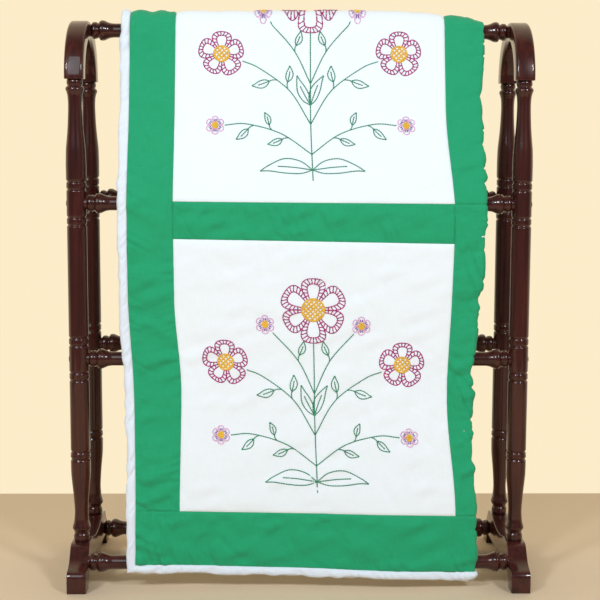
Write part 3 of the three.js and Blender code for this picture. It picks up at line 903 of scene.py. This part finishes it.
# ---------------------------------------------------------------- patchwork
def patches(settings):
    """The white blocks and the green strips as {name: (from, to, low, high)}, flat."""
    width, long = settings.width / MM, settings.length / MM
    bound = settings.binding / MM
    hem = bound + settings.hem_border / MM
    side = bound + settings.side_border / MM
    block, sash = settings.block / MM, settings.row_sash / MM
    columns = [(side, side + block), (width - side - block, width - side)]
    rows = [(hem + k * (block + sash), hem + k * (block + sash) + block) for k in range(3)]
    blocks = {f"{part}_{row}": (*across, *up)
              for part, across in zip(("outer", "inner"), columns)
              for row, up in zip(("front", "top", "back"), rows)}
    strips = {"hem_front": (bound, width - bound, bound, hem),
              "hem_back": (bound, width - bound, long - hem, long - bound),
              "border_outer": (bound, side, hem, long - hem),
              "border_inner": (width - side, width - bound, hem, long - hem)}
    for part, low, high in (("front", hem, rows[1][0]), ("top", rows[1][0], rows[2][0]),
                            ("back", rows[2][0], long - hem)):
        strips[f"sash_middle_{part}"] = (columns[0][1], columns[1][0], low, high)
    for across, part in zip(columns, ("outer", "inner")):
        for low, high, place in zip(rows[:-1], rows[1:], ("front", "back")):
            strips[f"sash_{part}_{place}"] = (*across, low[1], high[0])
    return blocks, strips


def seam_puckers(along, away, seed, reach):
    """Little pillows with sharp valleys between them that run in from a seam, -1 to 1."""
    lean = away * (0.3 + 0.35 * noise(along, 60, seed + 3))
    pillows = np.sqrt(np.abs(noise(along + lean, 13, seed)) + 0.01) * 1.7 - 1
    small = np.sqrt(np.abs(noise(along - away * 0.3, 7.5, seed + 1)) + 0.02) * 1.5 - 0.9
    strength = 0.5 + 0.5 * noise(along, 70, seed + 2)
    return strength * (pillows * np.exp(-away / reach)
                       + 0.35 * small * np.exp(-away / reach * 2.5)) * ease(away / 3 + 0.2)


def drag_lines(across, up, seed):
    """Soft slanting folds that come and go, from -1 to 0."""
    folds = 0
    for lean, wave, turn in ((0.75, 38, 0), (2.1, 34, 5)):
        slant = up + across * lean + 14 * noise(across, 90, seed + turn)
        valley = np.clip(1 - np.abs(noise(slant, wave, seed + turn + 1)) * 2.6, 0, 1) ** 1.3
        folds = folds - valley * ease(0.3 + noise_2d(across, up, 55, 70, seed + turn + 2))
    return folds


class Relief:
    """The height of the patchwork side over the middle of the quilt's thickness."""

    def __init__(self, settings):
        self.settings = settings
        self.bound = settings.binding / MM
        self.width, self.length = settings.width / MM, settings.length / MM
        self.loft, self.pucker = settings.loft / MM, settings.pucker / MM

    def __call__(self, across, up, patch, plain=False):
        left, right, low, high = patch
        gaps = (across - left, right - across, up - low, high - up)
        places = (up, up, across, across)
        nearest = np.minimum.reduce(gaps)
        height = (self.loft * (1 - np.exp(-nearest / SEAM_ROUND))
                  - DITCH_DEPTH * np.exp(-(nearest / DITCH_HALF) ** 2))
        slack = 0.45 + 0.75 * ease(np.abs(up - CREST) / 330 - 0.35)
        for gap, place, seam in zip(gaps, places, patch):
            at_edge = min(seam - self.bound, self.width - self.bound - seam) < 1
            at_edge = at_edge or abs(seam - self.length + self.bound) < 1
            share = 0.14 if plain else (1.0 if at_edge else 0.5)
            height = height + self.pucker * share * slack * seam_puckers(
                place, np.maximum(gap, 0), int(seam * 7) % 9973, 14 if plain else 22)
        soft = 0.35 if plain else 1.0
        height = height + soft * DRAG_DEPTH * slack * ease(nearest / 16 + 0.35) * drag_lines(
            across, up, 71)
        height = height + soft * RUMPLE * slack * ease(nearest / 18) * noise_2d(
            across + up * 0.5, up - across * 0.4, 40, 17, 31)
        valley = -DEEPEST * np.tanh(-height / DEEPEST)
        return LAYER_HALF + np.where(height < 0, valley, height)


def spaced(start, end, cell):
    """Even places with one more close to each end, so that a seam's ditch has a shape."""
    count = max(int(round((end - start) / cell)), 4)
    inner = np.linspace(start, end, count + 1)
    return np.unique(np.concatenate([inner, [start + 1.1, start + 2.6, end - 2.6, end - 1.1]]))


def across_places(start, end, cell, settings):
    """The same, with closer places where the lengthwise fold may lie."""
    places = spaced(start, end, cell)
    fold_low, fold_high = FOLD_LINE[0][1] - 9, FOLD_LINE[6][1] + 9
    if start < fold_high and end > fold_low:
        low, high = max(start, fold_low), min(end, fold_high)
        places = places[(places <= low) | (places >= high)]
        places = np.concatenate([places, np.linspace(low, high, int((high - low) / 1.8) + 2)])
        places = np.unique(np.round(places, 3))
    return places


def slab(hanging, across, up, top, bottom):
    """A closed slab of cloth over a grid. top and bottom give its two faces' lifts."""
    grid_across, grid_up = np.meshgrid(across, up, indexing="ij")
    flat = np.column_stack([grid_across.ravel(), grid_up.ravel()])
    faces = [hanging(grid_across, grid_up, face(grid_across, grid_up)).reshape(-1, 3)
             for face in (top, bottom)]
    wide, tall = len(across), len(up)
    index = np.arange(wide * tall).reshape(wide, tall)
    upper = np.stack([index[:-1, :-1], index[1:, :-1], index[1:, 1:], index[:-1, 1:]], -1)
    upper = upper.reshape(-1, 4)
    under = upper[:, ::-1] + wide * tall
    rim = np.concatenate([index[:, 0], index[-1, 1:], index[::-1, -1][1:], index[0, ::-1][1:-1]])
    following = np.roll(rim, -1)
    wall = np.column_stack([rim, rim + wide * tall, following + wide * tall, following])
    quads = np.concatenate([upper, under, wall])
    return np.concatenate(faces), quads, np.concatenate([flat, flat])


def cloth_piece(name, parts):
    """One mesh object from several slabs."""
    points, quads, flats, start = [], [], [], 0
    for slab_points, slab_quads, flat in parts:
        points.append(slab_points)
        quads.append(slab_quads + start)
        flats.append(flat)
        start += len(slab_points)
    piece = quad_object(name, np.concatenate(points), np.concatenate(quads))
    cloth_map(piece, np.concatenate(flats))
    return piece


def binding_piece(hanging, settings):
    """The puffy white binding, once round the quilt's edge, with mitred corners."""
    wide = settings.binding / MM
    width, long = hanging.width, hanging.length
    corners = np.array([(0, 0), (width, 0), (width, long), (0, long)], float)
    section = np.array([
        (1.02, 1.6), (0.98, 2.9), (0.86, 3.9), (0.66, 4.5), (0.44, 4.6), (0.24, 4.1),
        (0.10, 3.0), (0.0, 1.1), (0.0, -1.1), (0.10, -2.8), (0.24, -3.6), (0.5, -3.9),
        (0.78, -3.6), (0.98, -2.7), (1.02, -1.6)])
    flats, lifts = [], []
    gone = 0.0
    for start, end in zip(corners, np.roll(corners, -1, axis=0)):
        span = np.hypot(*(end - start))
        way = (end - start) / span
        inward = np.array([-way[1], way[0]])
        stops = np.linspace(0, 1, int(span / 2.0), endpoint=False)
        for stop in stops:
            place = gone + stop * span
            deep = section[:, 0] * wide
            near_corner = min(stop, 1 - stop) * span
            quiet = ease(near_corner / CORNER_QUIET)
            twist = np.abs(noise(place + section[:, 0] * 13, 11, 51))
            swell = BINDING_PUFF * np.sqrt(twist + 0.01) - BINDING_VALLEY + 1.1 * noise(
                place - section[:, 0] * 5, 24, 52)
            puff = np.sin(np.clip(section[:, 0], 0, 1) * math.pi)
            edge = 1.7 * noise(place, 15, 53) + 1.1 * noise(place, 40, 54)
            out = (edge * quiet - 0.3) * (1 - section[:, 0])
            along = deep + stop * (span - 2 * deep)
            flat = start + np.outer(along, way) + np.outer(deep - out, inward)
            flats.append(flat)
            rise = np.sign(section[:, 1]) * swell * puff * (0.4 + 0.6 * quiet)
            lifts.append(section[:, 1] + rise)
        gone += span
    flats, lifts = np.array(flats), np.array(lifts)
    rings, count = lifts.shape
    points = hanging(flats[..., 0], flats[..., 1], lifts).reshape(-1, 3)
    index = np.arange(rings * count).reshape(rings, count)
    after = np.roll(index, -1, axis=0)
    quads = np.stack([index, np.roll(index, -1, axis=1), np.roll(after, -1, axis=1), after], -1)
    piece = quad_object("quilt_binding", points, quads.reshape(-1, 4))
    cloth_map(piece, flats.reshape(-1, 2))
    outward(piece.data)
    return piece


# ---------------------------------------------------------------- embroidery
# Strokes lie on a block as (from its left edge, from its lower edge). Each has its colour.
UPRIGHT = math.pi / 2
PETAL_BLUNT, PETAL_ROUND = 4.0, 1 / 2.8
BAND_STITCH = 6.8


def through(points, step=1.0):
    """A smooth line through points, sampled evenly."""
    knots = np.array(points, float)
    knots = np.vstack([2 * knots[0] - knots[1], knots, 2 * knots[-1] - knots[-2]])
    line = []
    for a, b, c, d in zip(knots[:-3], knots[1:-2], knots[2:-1], knots[3:]):
        t = np.linspace(0, 1, 24, endpoint=False)[:, None]
        line.append(0.5 * (2 * b + (c - a) * t + (2 * a - 5 * b + 4 * c - d) * t ** 2
                           + (3 * b - a - 3 * c + d) * t ** 3))
    line = np.vstack([*line, knots[-2]])
    gone = np.concatenate([[0], np.cumsum(np.hypot(*np.diff(line, axis=0).T))])
    stops = np.linspace(0, gone[-1], max(int(gone[-1] / step), 2))
    return np.column_stack([np.interp(stops, gone, line[:, k]) for k in (0, 1)])


def leaf(base, tip, width, bow=0.12):
    """A pointed leaf with a short vein, as green strokes."""
    base, tip = np.array(base, float), np.array(tip, float)
    way = tip - base
    side = np.array([-way[1], way[0]]) / np.hypot(*way)
    spine = side * bow * width
    strokes = []
    for hand in (-1, 1):
        knots = [base, base + way * 0.22 + side * hand * width * 0.42 + spine,
                 base + way * 0.52 + side * hand * width * 0.5 + spine * 1.6,
                 base + way * 0.82 + side * hand * width * 0.2 + spine, tip]
        strokes.append(("green", through(knots)))
    strokes.append(("green", through([base, base + way * 0.35 + spine, base + way * 0.66
                                      + spine * 1.5])))
    return strokes


def petal(centre, turn, inner, outer, spread):
    """The outline of a petal that grows from a flower's centre, out one side and in the other."""
    part = np.sin(np.linspace(-math.pi / 2, math.pi / 2, 61))
    reach = (1 - np.abs(part) ** PETAL_BLUNT) ** PETAL_ROUND
    out = inner + (outer - inner) * reach
    angle = turn + part * spread
    return np.array(centre) + np.column_stack([out * np.cos(angle), out * np.sin(angle)])


def banded_petal(centre, turn, inner, outer, spread, band):
    """A petal with a second outline inside the first and short stitches between them."""
    edge = petal(centre, turn, inner, outer, spread)
    inside = petal(centre, turn, inner + 1, outer - band, spread * 0.6)
    strokes = [("magenta", through(edge)), ("magenta", through(inside))]
    gone = np.concatenate([[0], np.cumsum(np.hypot(*np.diff(edge, axis=0).T))])
    for stop in np.arange(7, gone[-1] - 5, BAND_STITCH):
        ends = [[np.interp(stop, gone, line[:, k]) for k in (0, 1)] for line in (edge, inside)]
        strokes.append(("magenta", np.array(ends)))
    return strokes


def lattice_centre(centre, radius, spacing=5.6):
    """A round flower centre laced in two directions."""
    strokes = []
    turn = np.linspace(0, 2 * math.pi, 40)
    ring = np.column_stack([centre[0] + radius * np.cos(turn), centre[1] + radius * np.sin(turn)])
    strokes.append(("yellow", ring))
    for slope in (math.radians(40), math.radians(-50)):
        way, cross = np.array([math.cos(slope), math.sin(slope)]), np.array([-math.sin(slope),
                                                                             math.cos(slope)])
        for shift in np.arange(-radius + spacing / 2, radius, spacing):
            half = math.sqrt(max(radius ** 2 - shift ** 2, 0))
            middle = np.array(centre) + cross * shift
            strokes.append(("yellow", through([middle - way * half, middle, middle + way * half])))
    return strokes


def laced_flower(centre, radius, count):
    """A large flower of banded petals round a laced centre."""
    inner = radius * 0.34
    strokes = []
    for k in range(count):
        reach = radius * (1.0 if k % 2 else 0.95)
        strokes += banded_petal(centre, UPRIGHT + k * 2 * math.pi / count, inner, reach,
                                math.pi / count * 1.02, radius * 0.16)
    return strokes + lattice_centre(centre, inner)


def blossom(centre, radius):
    """A small pink blossom with a filled centre and two rays in each petal."""
    centre = np.array(centre, float)
    strokes = []
    for k in range(6):
        way = UPRIGHT + k * math.pi / 3
        strokes.append(("pink", through(petal(centre, way, radius * 0.4, radius, 0.46))))
        for lean in (-0.16, 0.16):
            arm = np.array([math.cos(way + lean), math.sin(way + lean)])
            strokes.append(("violet", np.array([centre + arm * radius * 0.46,
                                                centre + arm * radius * 0.74])))
    for shift in np.arange(-0.32, 0.33, 0.08) * radius:
        half = math.sqrt(max((0.36 * radius) ** 2 - shift ** 2, 1))
        strokes.append(("yellow", np.array([(centre[0] - half, centre[1] + shift),
                                            (centre[0] + half, centre[1] + shift)])))
    return strokes


def vine(points, leaves, size, seed):
    """A stem with leaves, each given as the part of its length it is at and its side."""
    stem = through(points)
    strokes = [("green", stem)]
    chance = np.random.RandomState(seed)
    for part, hand in leaves:
        k = int(part * (len(stem) - 3))
        way = stem[k + 2] - stem[k]
        way = way / np.hypot(*way)
        cross = np.array([-way[1], way[0]]) * hand
        start = stem[k]
        grow = size * chance.uniform(0.85, 1.15)
        base = start + (way * 0.7 + cross * 0.7) * grow * 0.42
        tip = base + (way * 0.62 + cross * 0.8) * grow
        strokes.append(("green", through([start, (start + base) / 2 + way * 1.5, base])))
        strokes += leaf(base, tip, grow * 0.42, bow=0.1 * hand)
    return strokes


def posy(middle):
    """A plain upright posy on a straight stem, with all else in mirrored pairs."""
    strokes = [("green", through([(middle, 34), (middle, 150), (middle, 282)]))]
    strokes += laced_flower((middle, 334), 54, 6)
    for hand in (-1, 1):
        def at(out, up):
            return middle + hand * out, up

        strokes += vine([at(0, 128), at(34, 184), at(84, 222), at(112, 234)],
                        ((0.45, hand), (0.6, -hand)), 28, 1)
        strokes += laced_flower(at(146, 246), 38, 5)
        strokes += vine([at(0, 78), at(48, 112), at(104, 128), at(140, 126)],
                        ((0.3, -hand), (0.5, hand), (0.7, -hand)), 26, 2)
        strokes += blossom(at(156, 126), 15)
        strokes += vine([at(0, 196), at(26, 250), at(66, 296)], ((0.5, hand),), 24, 3)
        strokes += blossom(at(78, 309), 15)
        strokes += leaf(at(0, 52), at(84, 50), 24, 0.2 * hand)
        strokes += leaf(at(0, 160), at(22, 210), 15)
    return strokes


def stitches_along(line, stitch):
    """Places, directions and half lengths of the stitches along a stroke."""
    gone = np.concatenate([[0], np.cumsum(np.hypot(*np.diff(line, axis=0).T))])
    count = max(int(round(gone[-1] / stitch)), 1)
    ends = np.linspace(0, gone[-1], count + 1)
    knots = np.column_stack([np.interp(ends, gone, line[:, k]) for k in (0, 1)])
    way = np.diff(knots, axis=0)
    return (knots[:-1] + knots[1:]) / 2, way


def stitch_object(name, flat, way, hanging, cover, thread, material):
    """Stitches laid on the hanging quilt. cover gives the lift of the cloth under them."""
    half = np.hypot(*way.T) / 2
    unit = way / np.maximum(half * 2, 1e-6)[:, None]
    step = 1.2

    def ground(shift):
        place = flat + shift
        return hanging(place[:, 0], place[:, 1], cover(place[:, 0], place[:, 1]))

    here = ground((0, 0))
    side_a = ground((step, 0)) - ground((-step, 0))
    side_b = ground((0, step)) - ground((0, -step))
    facing = np.cross(side_a, side_b)
    facing /= np.linalg.norm(facing, axis=1)[:, None]
    along = (side_a * unit[:, :1] + side_b * unit[:, 1:]) / (2 * step)
    stretch = np.linalg.norm(along, axis=1)
    along /= stretch[:, None]
    mesh = bpy.data.meshes.new(name)
    mesh.from_pydata(((here + facing * thread * 0.18) * MM).tolist(), [], [])
    vector_attribute(mesh, "along", along)
    vector_attribute(mesh, "facing", facing)
    sizes = np.column_stack([half * stretch * 1.15 + 0.25, np.full(len(half), thread / 2),
                             np.full(len(half), thread * 0.36)]) * MM
    vector_attribute(mesh, "size", sizes)
    piece = bpy.data.objects.new(name, mesh)
    bpy.context.scene.collection.objects.link(piece)
    return apply_tree(piece, tree_named("Stitches", stitch_tree), Detail=1, Material=material)


# ---------------------------------------------------------------- operators
class QUILTRACK_OT_posts(bpy.types.Operator):
    """Turn the four posts"""

    bl_idname = "quiltrack.posts"
    bl_label = "Posts"

    def execute(self, context):
        settings = context.scene.rack_settings
        places, radii = post_shape()
        for seed, (end, row) in enumerate((e, r) for e in ENDS for r in ROWS):
            node = f"post_{row}_{end}"
            centre = (ENDS[end] * FRAME_PLACE, ROWS[row] * POST_LINE)
            piece = turned_piece(f"turned_{node}", "Z", centre, places, radii, settings, seed)
            finish_piece(piece, "rack", nodes=[node])
        return {"FINISHED"}


class QUILTRACK_OT_rails(bpy.types.Operator):
    """Turn the seven rails"""

    bl_idname = "quiltrack.rails"
    bl_label = "Rails"

    def execute(self, context):
        settings = context.scene.rack_settings
        places, radii = rail_shape()
        for seed, name in enumerate(RAILS):
            piece = turned_piece(f"turned_rail_{name}", "X", RAIL_AXES[name], places, radii,
                                 settings, seed + 10)
            finish_piece(piece, "rack", nodes=[f"rail_{name}"])
        return {"FINISHED"}


class QUILTRACK_OT_boards(bpy.types.Operator):
    """Shape the two arches and the two feet"""

    bl_idname = "quiltrack.boards"
    bl_label = "Arches and Feet"

    def execute(self, context):
        settings = context.scene.rack_settings
        for seed, (end, side) in enumerate(ENDS.items()):
            for kind, make, along in (("arch", arch_mesh, "Z"), ("foot", foot_mesh, "Y")):
                piece = make(f"shaped_{kind}_{end}", side, settings)
                grain_map(piece, along, seed + (20 if kind == "arch" else 30))
                finish_piece(piece, "rack", wood_material(settings),
                             [f"{kind}_{end}"])
        return {"FINISHED"}


def fixing_points(name, shift):
    """A point at each rail's end, on its frame's middle plane or shifted out from it."""
    points, ways = [], []
    for side in ENDS.values():
        for rail, (y, z) in RAIL_AXES.items():
            out = shift(rail)
            points.append((side * (FRAME_PLACE + out) * MM, y * MM, z * MM))
            ways.append((side, 0, 0))
    mesh = bpy.data.meshes.new(name)
    mesh.from_pydata(points, [], [])
    vector_attribute(mesh, "way", ways)
    piece = bpy.data.objects.new(name, mesh)
    bpy.context.scene.collection.objects.link(piece)
    return piece


class QUILTRACK_OT_fixings(bpy.types.Operator):
    """Set the rails' screws and the plugs that cover them"""

    bl_idname = "quiltrack.fixings"
    bl_label = "Screws and Plugs"

    def execute(self, context):
        settings = context.scene.rack_settings
        ends = [f"{rail}_{end}" for end in ENDS for rail in RAILS]
        screws = fixing_points("rail_screws", lambda rail: 0)
        tree = fixing_tree("Screws", SCREW_CONES)
        apply_tree(screws, tree, Material=steel_material(settings))
        finish_piece(screws, "rack", nodes=[f"screw_{e}" for e in ends])
        plugs = fixing_points("screw_plugs",
                              lambda rail: BOARD_HALF if rail in BOARD_RAILS else POST_HALF)
        tree = fixing_tree("Plugs", PLUG_CONES)
        apply_tree(plugs, tree, Material=wood_material(settings))
        grain_map(plugs, "X", 40)
        finish_piece(plugs, "rack", nodes=[f"plug_{e}" for e in ends])
        return {"FINISHED"}


class QUILTRACK_OT_patchwork(bpy.types.Operator):
    """Lay the backing, the green strips and the white blocks"""

    bl_idname = "quiltrack.patchwork"
    bl_label = "Patchwork"

    def execute(self, context):
        settings = context.scene.quilt_settings
        hanging, relief = Hanging(settings), Relief(settings)
        cell, strip_cell = settings.cell / MM, settings.strip_cell / MM
        blocks, strips = patches(settings)
        bound = settings.binding / MM

        def patch_slab(patch, plain):
            step = cell if plain else strip_cell
            across = across_places(patch[0], patch[1], step, settings)
            up = spaced(patch[2], patch[3], step)
            return slab(hanging, across, up,
                        lambda a, u: relief(a, u, patch, plain),
                        lambda a, u: np.full(a.shape, -0.9))

        for name, patch in strips.items():
            strip = cloth_piece(f"green_{name}", [patch_slab(patch, False)])
            finish_piece(strip, "quilt",
                         cotton_material("dyed_cotton", settings.green))
        for name, patch in blocks.items():
            block = cloth_piece(f"white_block_{name}", [patch_slab(patch, True)])
            finish_piece(block, "quilt",
                         cotton_material("bleached_cotton", settings.white, slub=0.02))
        inset = bound * 0.6
        across = across_places(inset, hanging.width - inset, 10, settings)
        up = np.linspace(inset, hanging.length - inset, 164)
        backing = cloth_piece("quilt_backing", [slab(
            hanging, across, up, lambda a, u: np.full(a.shape, -0.7),
            lambda a, u: -LAYER_HALF - 0.35 * noise_2d(a, u, 30, 22, 61))])
        finish_piece(backing, "quilt",
                     cotton_material("backing_cotton", settings.backing, slub=0.02),
                     ["quilt_panel"])
        return {"FINISHED"}


class QUILTRACK_OT_binding(bpy.types.Operator):
    """Bind the quilt's edge"""

    bl_idname = "quiltrack.binding"
    bl_label = "Binding"

    def execute(self, context):
        settings = context.scene.quilt_settings
        piece = binding_piece(Hanging(settings), settings)
        finish_piece(piece, "quilt",
                     cotton_material("binding_cotton", settings.binding_white, slub=0.02),
                     ["binding_front_end", "binding_back_end", "binding_outer_side",
                      "binding_inner_side"])
        return {"FINISHED"}


class QUILTRACK_OT_embroidery(bpy.types.Operator):
    """Stitch a posy on every block"""

    bl_idname = "quiltrack.embroidery"
    bl_label = "Embroidery"

    def execute(self, context):
        settings, threads = context.scene.quilt_settings, context.scene.thread_settings
        hanging, relief = Hanging(settings), Relief(settings)
        blocks, _ = patches(settings)
        tints = {"green": threads.leaf_green, "magenta": threads.magenta,
                 "yellow": threads.yellow, "pink": threads.pink, "violet": threads.violet}
        stitch, thread = threads.stitch / MM, threads.thread / MM
        marks = {tint: [[], []] for tint in tints}
        for tint, line in posy(settings.block / MM / 2):
            places, ways = stitches_along(line, stitch)
            marks[tint][0].append(places)
            marks[tint][1].append(ways)
        for part in ("outer", "inner"):
            mine = {name: patch for name, patch in blocks.items() if name.startswith(part)}
            for tint, (places, ways) in marks.items():
                places, ways = np.concatenate(places), np.concatenate(ways)
                flat = np.concatenate([places + (patch[0], patch[2]) for patch in mine.values()])
                left, right = next(iter(mine.values()))[:2]

                def cover(across, up):
                    lift = np.zeros(len(across))
                    for _, _, low, high in mine.values():
                        inside = (up > low) & (up < high)
                        lift[inside] = relief(across[inside], up[inside],
                                              (left, right, low, high), True)
                    return lift

                strands = thread * (1.5 if tint == "yellow" else 1.0)
                piece = stitch_object(f"embroidery_{tint}_{part}", flat,
                                      np.tile(ways, (len(mine), 1)), hanging, cover, strands,
                                      thread_material(f"{tint}_thread", tints[tint]))
                finish_piece(piece, "quilt")
        return {"FINISHED"}


class QUILTRACK_OT_declare(bpy.types.Operator):
    """An empty step: it builds nothing and records nothing."""

    bl_idname = "quiltrack.declare"
    bl_label = "Sheet"

    def execute(self, context):
        return {"FINISHED"}


def area_light(name, place, target, size, power, tint):
    light = bpy.data.lights.new(name, "AREA")
    light.shape = "RECTANGLE"
    light.size, light.size_y = size
    light.energy = power
    light.color = tint
    lamp = bpy.data.objects.new(name, light)
    bpy.context.scene.collection.objects.link(lamp)
    way = np.array(target, float) - np.array(place, float)
    forward = way / np.linalg.norm(way)
    across = np.cross(forward, (0, 0, 1))
    across /= np.linalg.norm(across)
    over = np.cross(across, forward)
    lamp.matrix_world = Matrix((
        (across[0], over[0], -forward[0], place[0]),
        (across[1], over[1], -forward[1], place[1]),
        (across[2], over[2], -forward[2], place[2]), (0, 0, 0, 1)))
    lamp.visible_camera = False
    return lamp


class QUILTRACK_OT_stage(bpy.types.Operator):
    """Set up the floor, the lights and the camera"""

    bl_idname = "quiltrack.stage"
    bl_label = "Stage"

    def execute(self, context):
        settings = context.scene.stage_settings
        half, back = settings.floor_half / MM, settings.floor_back / MM
        floor = mesh_object("floor", [(-half, -half, 0), (half, -half, 0), (half, back, 0),
                                      (-half, back, 0)], [(0, 1, 2, 3)], smooth=False)
        material, build, shader = new_material("pale_floor")
        paint(build, shader, base_color=(*settings.floor, 1), roughness=0.6,
              specular_ior_level=0.2)
        floor.data.materials.append(material)
        world = bpy.data.worlds.new("surround")
        world.use_nodes = True
        build = Tree(world.node_tree)
        way = build.node("ShaderNodeTexCoord").outputs["Generated"]
        parts = build.node("ShaderNodeSeparateXYZ", {"Vector": way})
        behind = build.node("ShaderNodeMapRange", {
            "Value": parts.outputs["Y"], "From Min": -0.25, "From Max": 0.35},
            interpolation_type="SMOOTHSTEP")
        light = mix_colours(build, behind.outputs[0], (*settings.room, 1), (*settings.wall, 1))
        background = world.node_tree.nodes["Background"]
        world.node_tree.links.new(light, background.inputs["Color"])
        context.scene.world = world
        area_light("front_light", (-0.75, -2.9, 2.3), (-0.3, 0, 0.7), (0.9, 2.0),
                   settings.front_power, settings.daylight)
        for name, side in (("left_light", -1), ("right_light", 1)):
            area_light(name, (side * 1.5, -2.3, 2.0), (0, 0, 0.45), (0.5, 0.5),
                       settings.side_power, settings.daylight)
        lens = bpy.data.cameras.new("camera")
        lens.lens = settings.lens
        lens.sensor_width = 36
        lens.clip_start, lens.clip_end = 0.05, 60
        camera = bpy.data.objects.new("camera", lens)
        context.scene.collection.objects.link(camera)
        forward = np.array([math.sin(settings.yaw) * math.cos(settings.pitch),
                            math.cos(settings.yaw) * math.cos(settings.pitch),
                            -math.sin(settings.pitch)])
        across = np.cross(forward, (0, 0, 1))
        across /= np.linalg.norm(across)
        over = np.cross(across, forward)
        tilted = math.cos(settings.roll) * across + math.sin(settings.roll) * over
        over = np.cross(tilted, forward)
        camera.matrix_world = Matrix((
            (tilted[0], over[0], -forward[0], settings.eye[0]),
            (tilted[1], over[1], -forward[1], settings.eye[1]),
            (tilted[2], over[2], -forward[2], settings.eye[2]), (0, 0, 0, 1)))
        context.scene.camera = camera
        context.scene.view_settings.view_transform = "Standard"
        return {"FINISHED"}


class QUILTRACK_PT_panel(bpy.types.Panel):
    """Lists the pieces of the quilt rack"""

    bl_label = "Quilt Rack"
    bl_idname = "QUILTRACK_PT_panel"
    bl_space_type = "VIEW_3D"
    bl_region_type = "UI"
    bl_category = "Quilt Rack"

    def draw(self, context):
        for operator in OPERATORS:
            self.layout.operator(operator.bl_idname)
        for group in SETTINGS:
            settings = getattr(context.scene, group)
            for name in settings.bl_rna.properties.keys():
                if name not in ("rna_type", "name"):
                    self.layout.prop(settings, name)


OPERATORS = (QUILTRACK_OT_posts, QUILTRACK_OT_rails, QUILTRACK_OT_boards, QUILTRACK_OT_fixings,
             QUILTRACK_OT_patchwork, QUILTRACK_OT_binding, QUILTRACK_OT_embroidery,
             QUILTRACK_OT_declare, QUILTRACK_OT_stage)
SETTINGS = {"rack_settings": RackSettings, "quilt_settings": QuiltSettings,
            "thread_settings": ThreadSettings, "stage_settings": StageSettings}


def register():
    for group, kind in SETTINGS.items():
        bpy.utils.register_class(kind)
        setattr(bpy.types.Scene, group, PointerProperty(type=kind))
    for operator in OPERATORS:
        bpy.utils.register_class(operator)
    bpy.utils.register_class(QUILTRACK_PT_panel)


def unregister():
    bpy.utils.unregister_class(QUILTRACK_PT_panel)
    for operator in reversed(OPERATORS):
        bpy.utils.unregister_class(operator)
    for group, kind in reversed(SETTINGS.items()):
        delattr(bpy.types.Scene, group)
        bpy.utils.unregister_class(kind)


def main():
    register()
    for operator in OPERATORS:
        getattr(bpy.ops.quiltrack, operator.bl_idname.split(".")[1])()


if __name__ == "__main__":
    main()
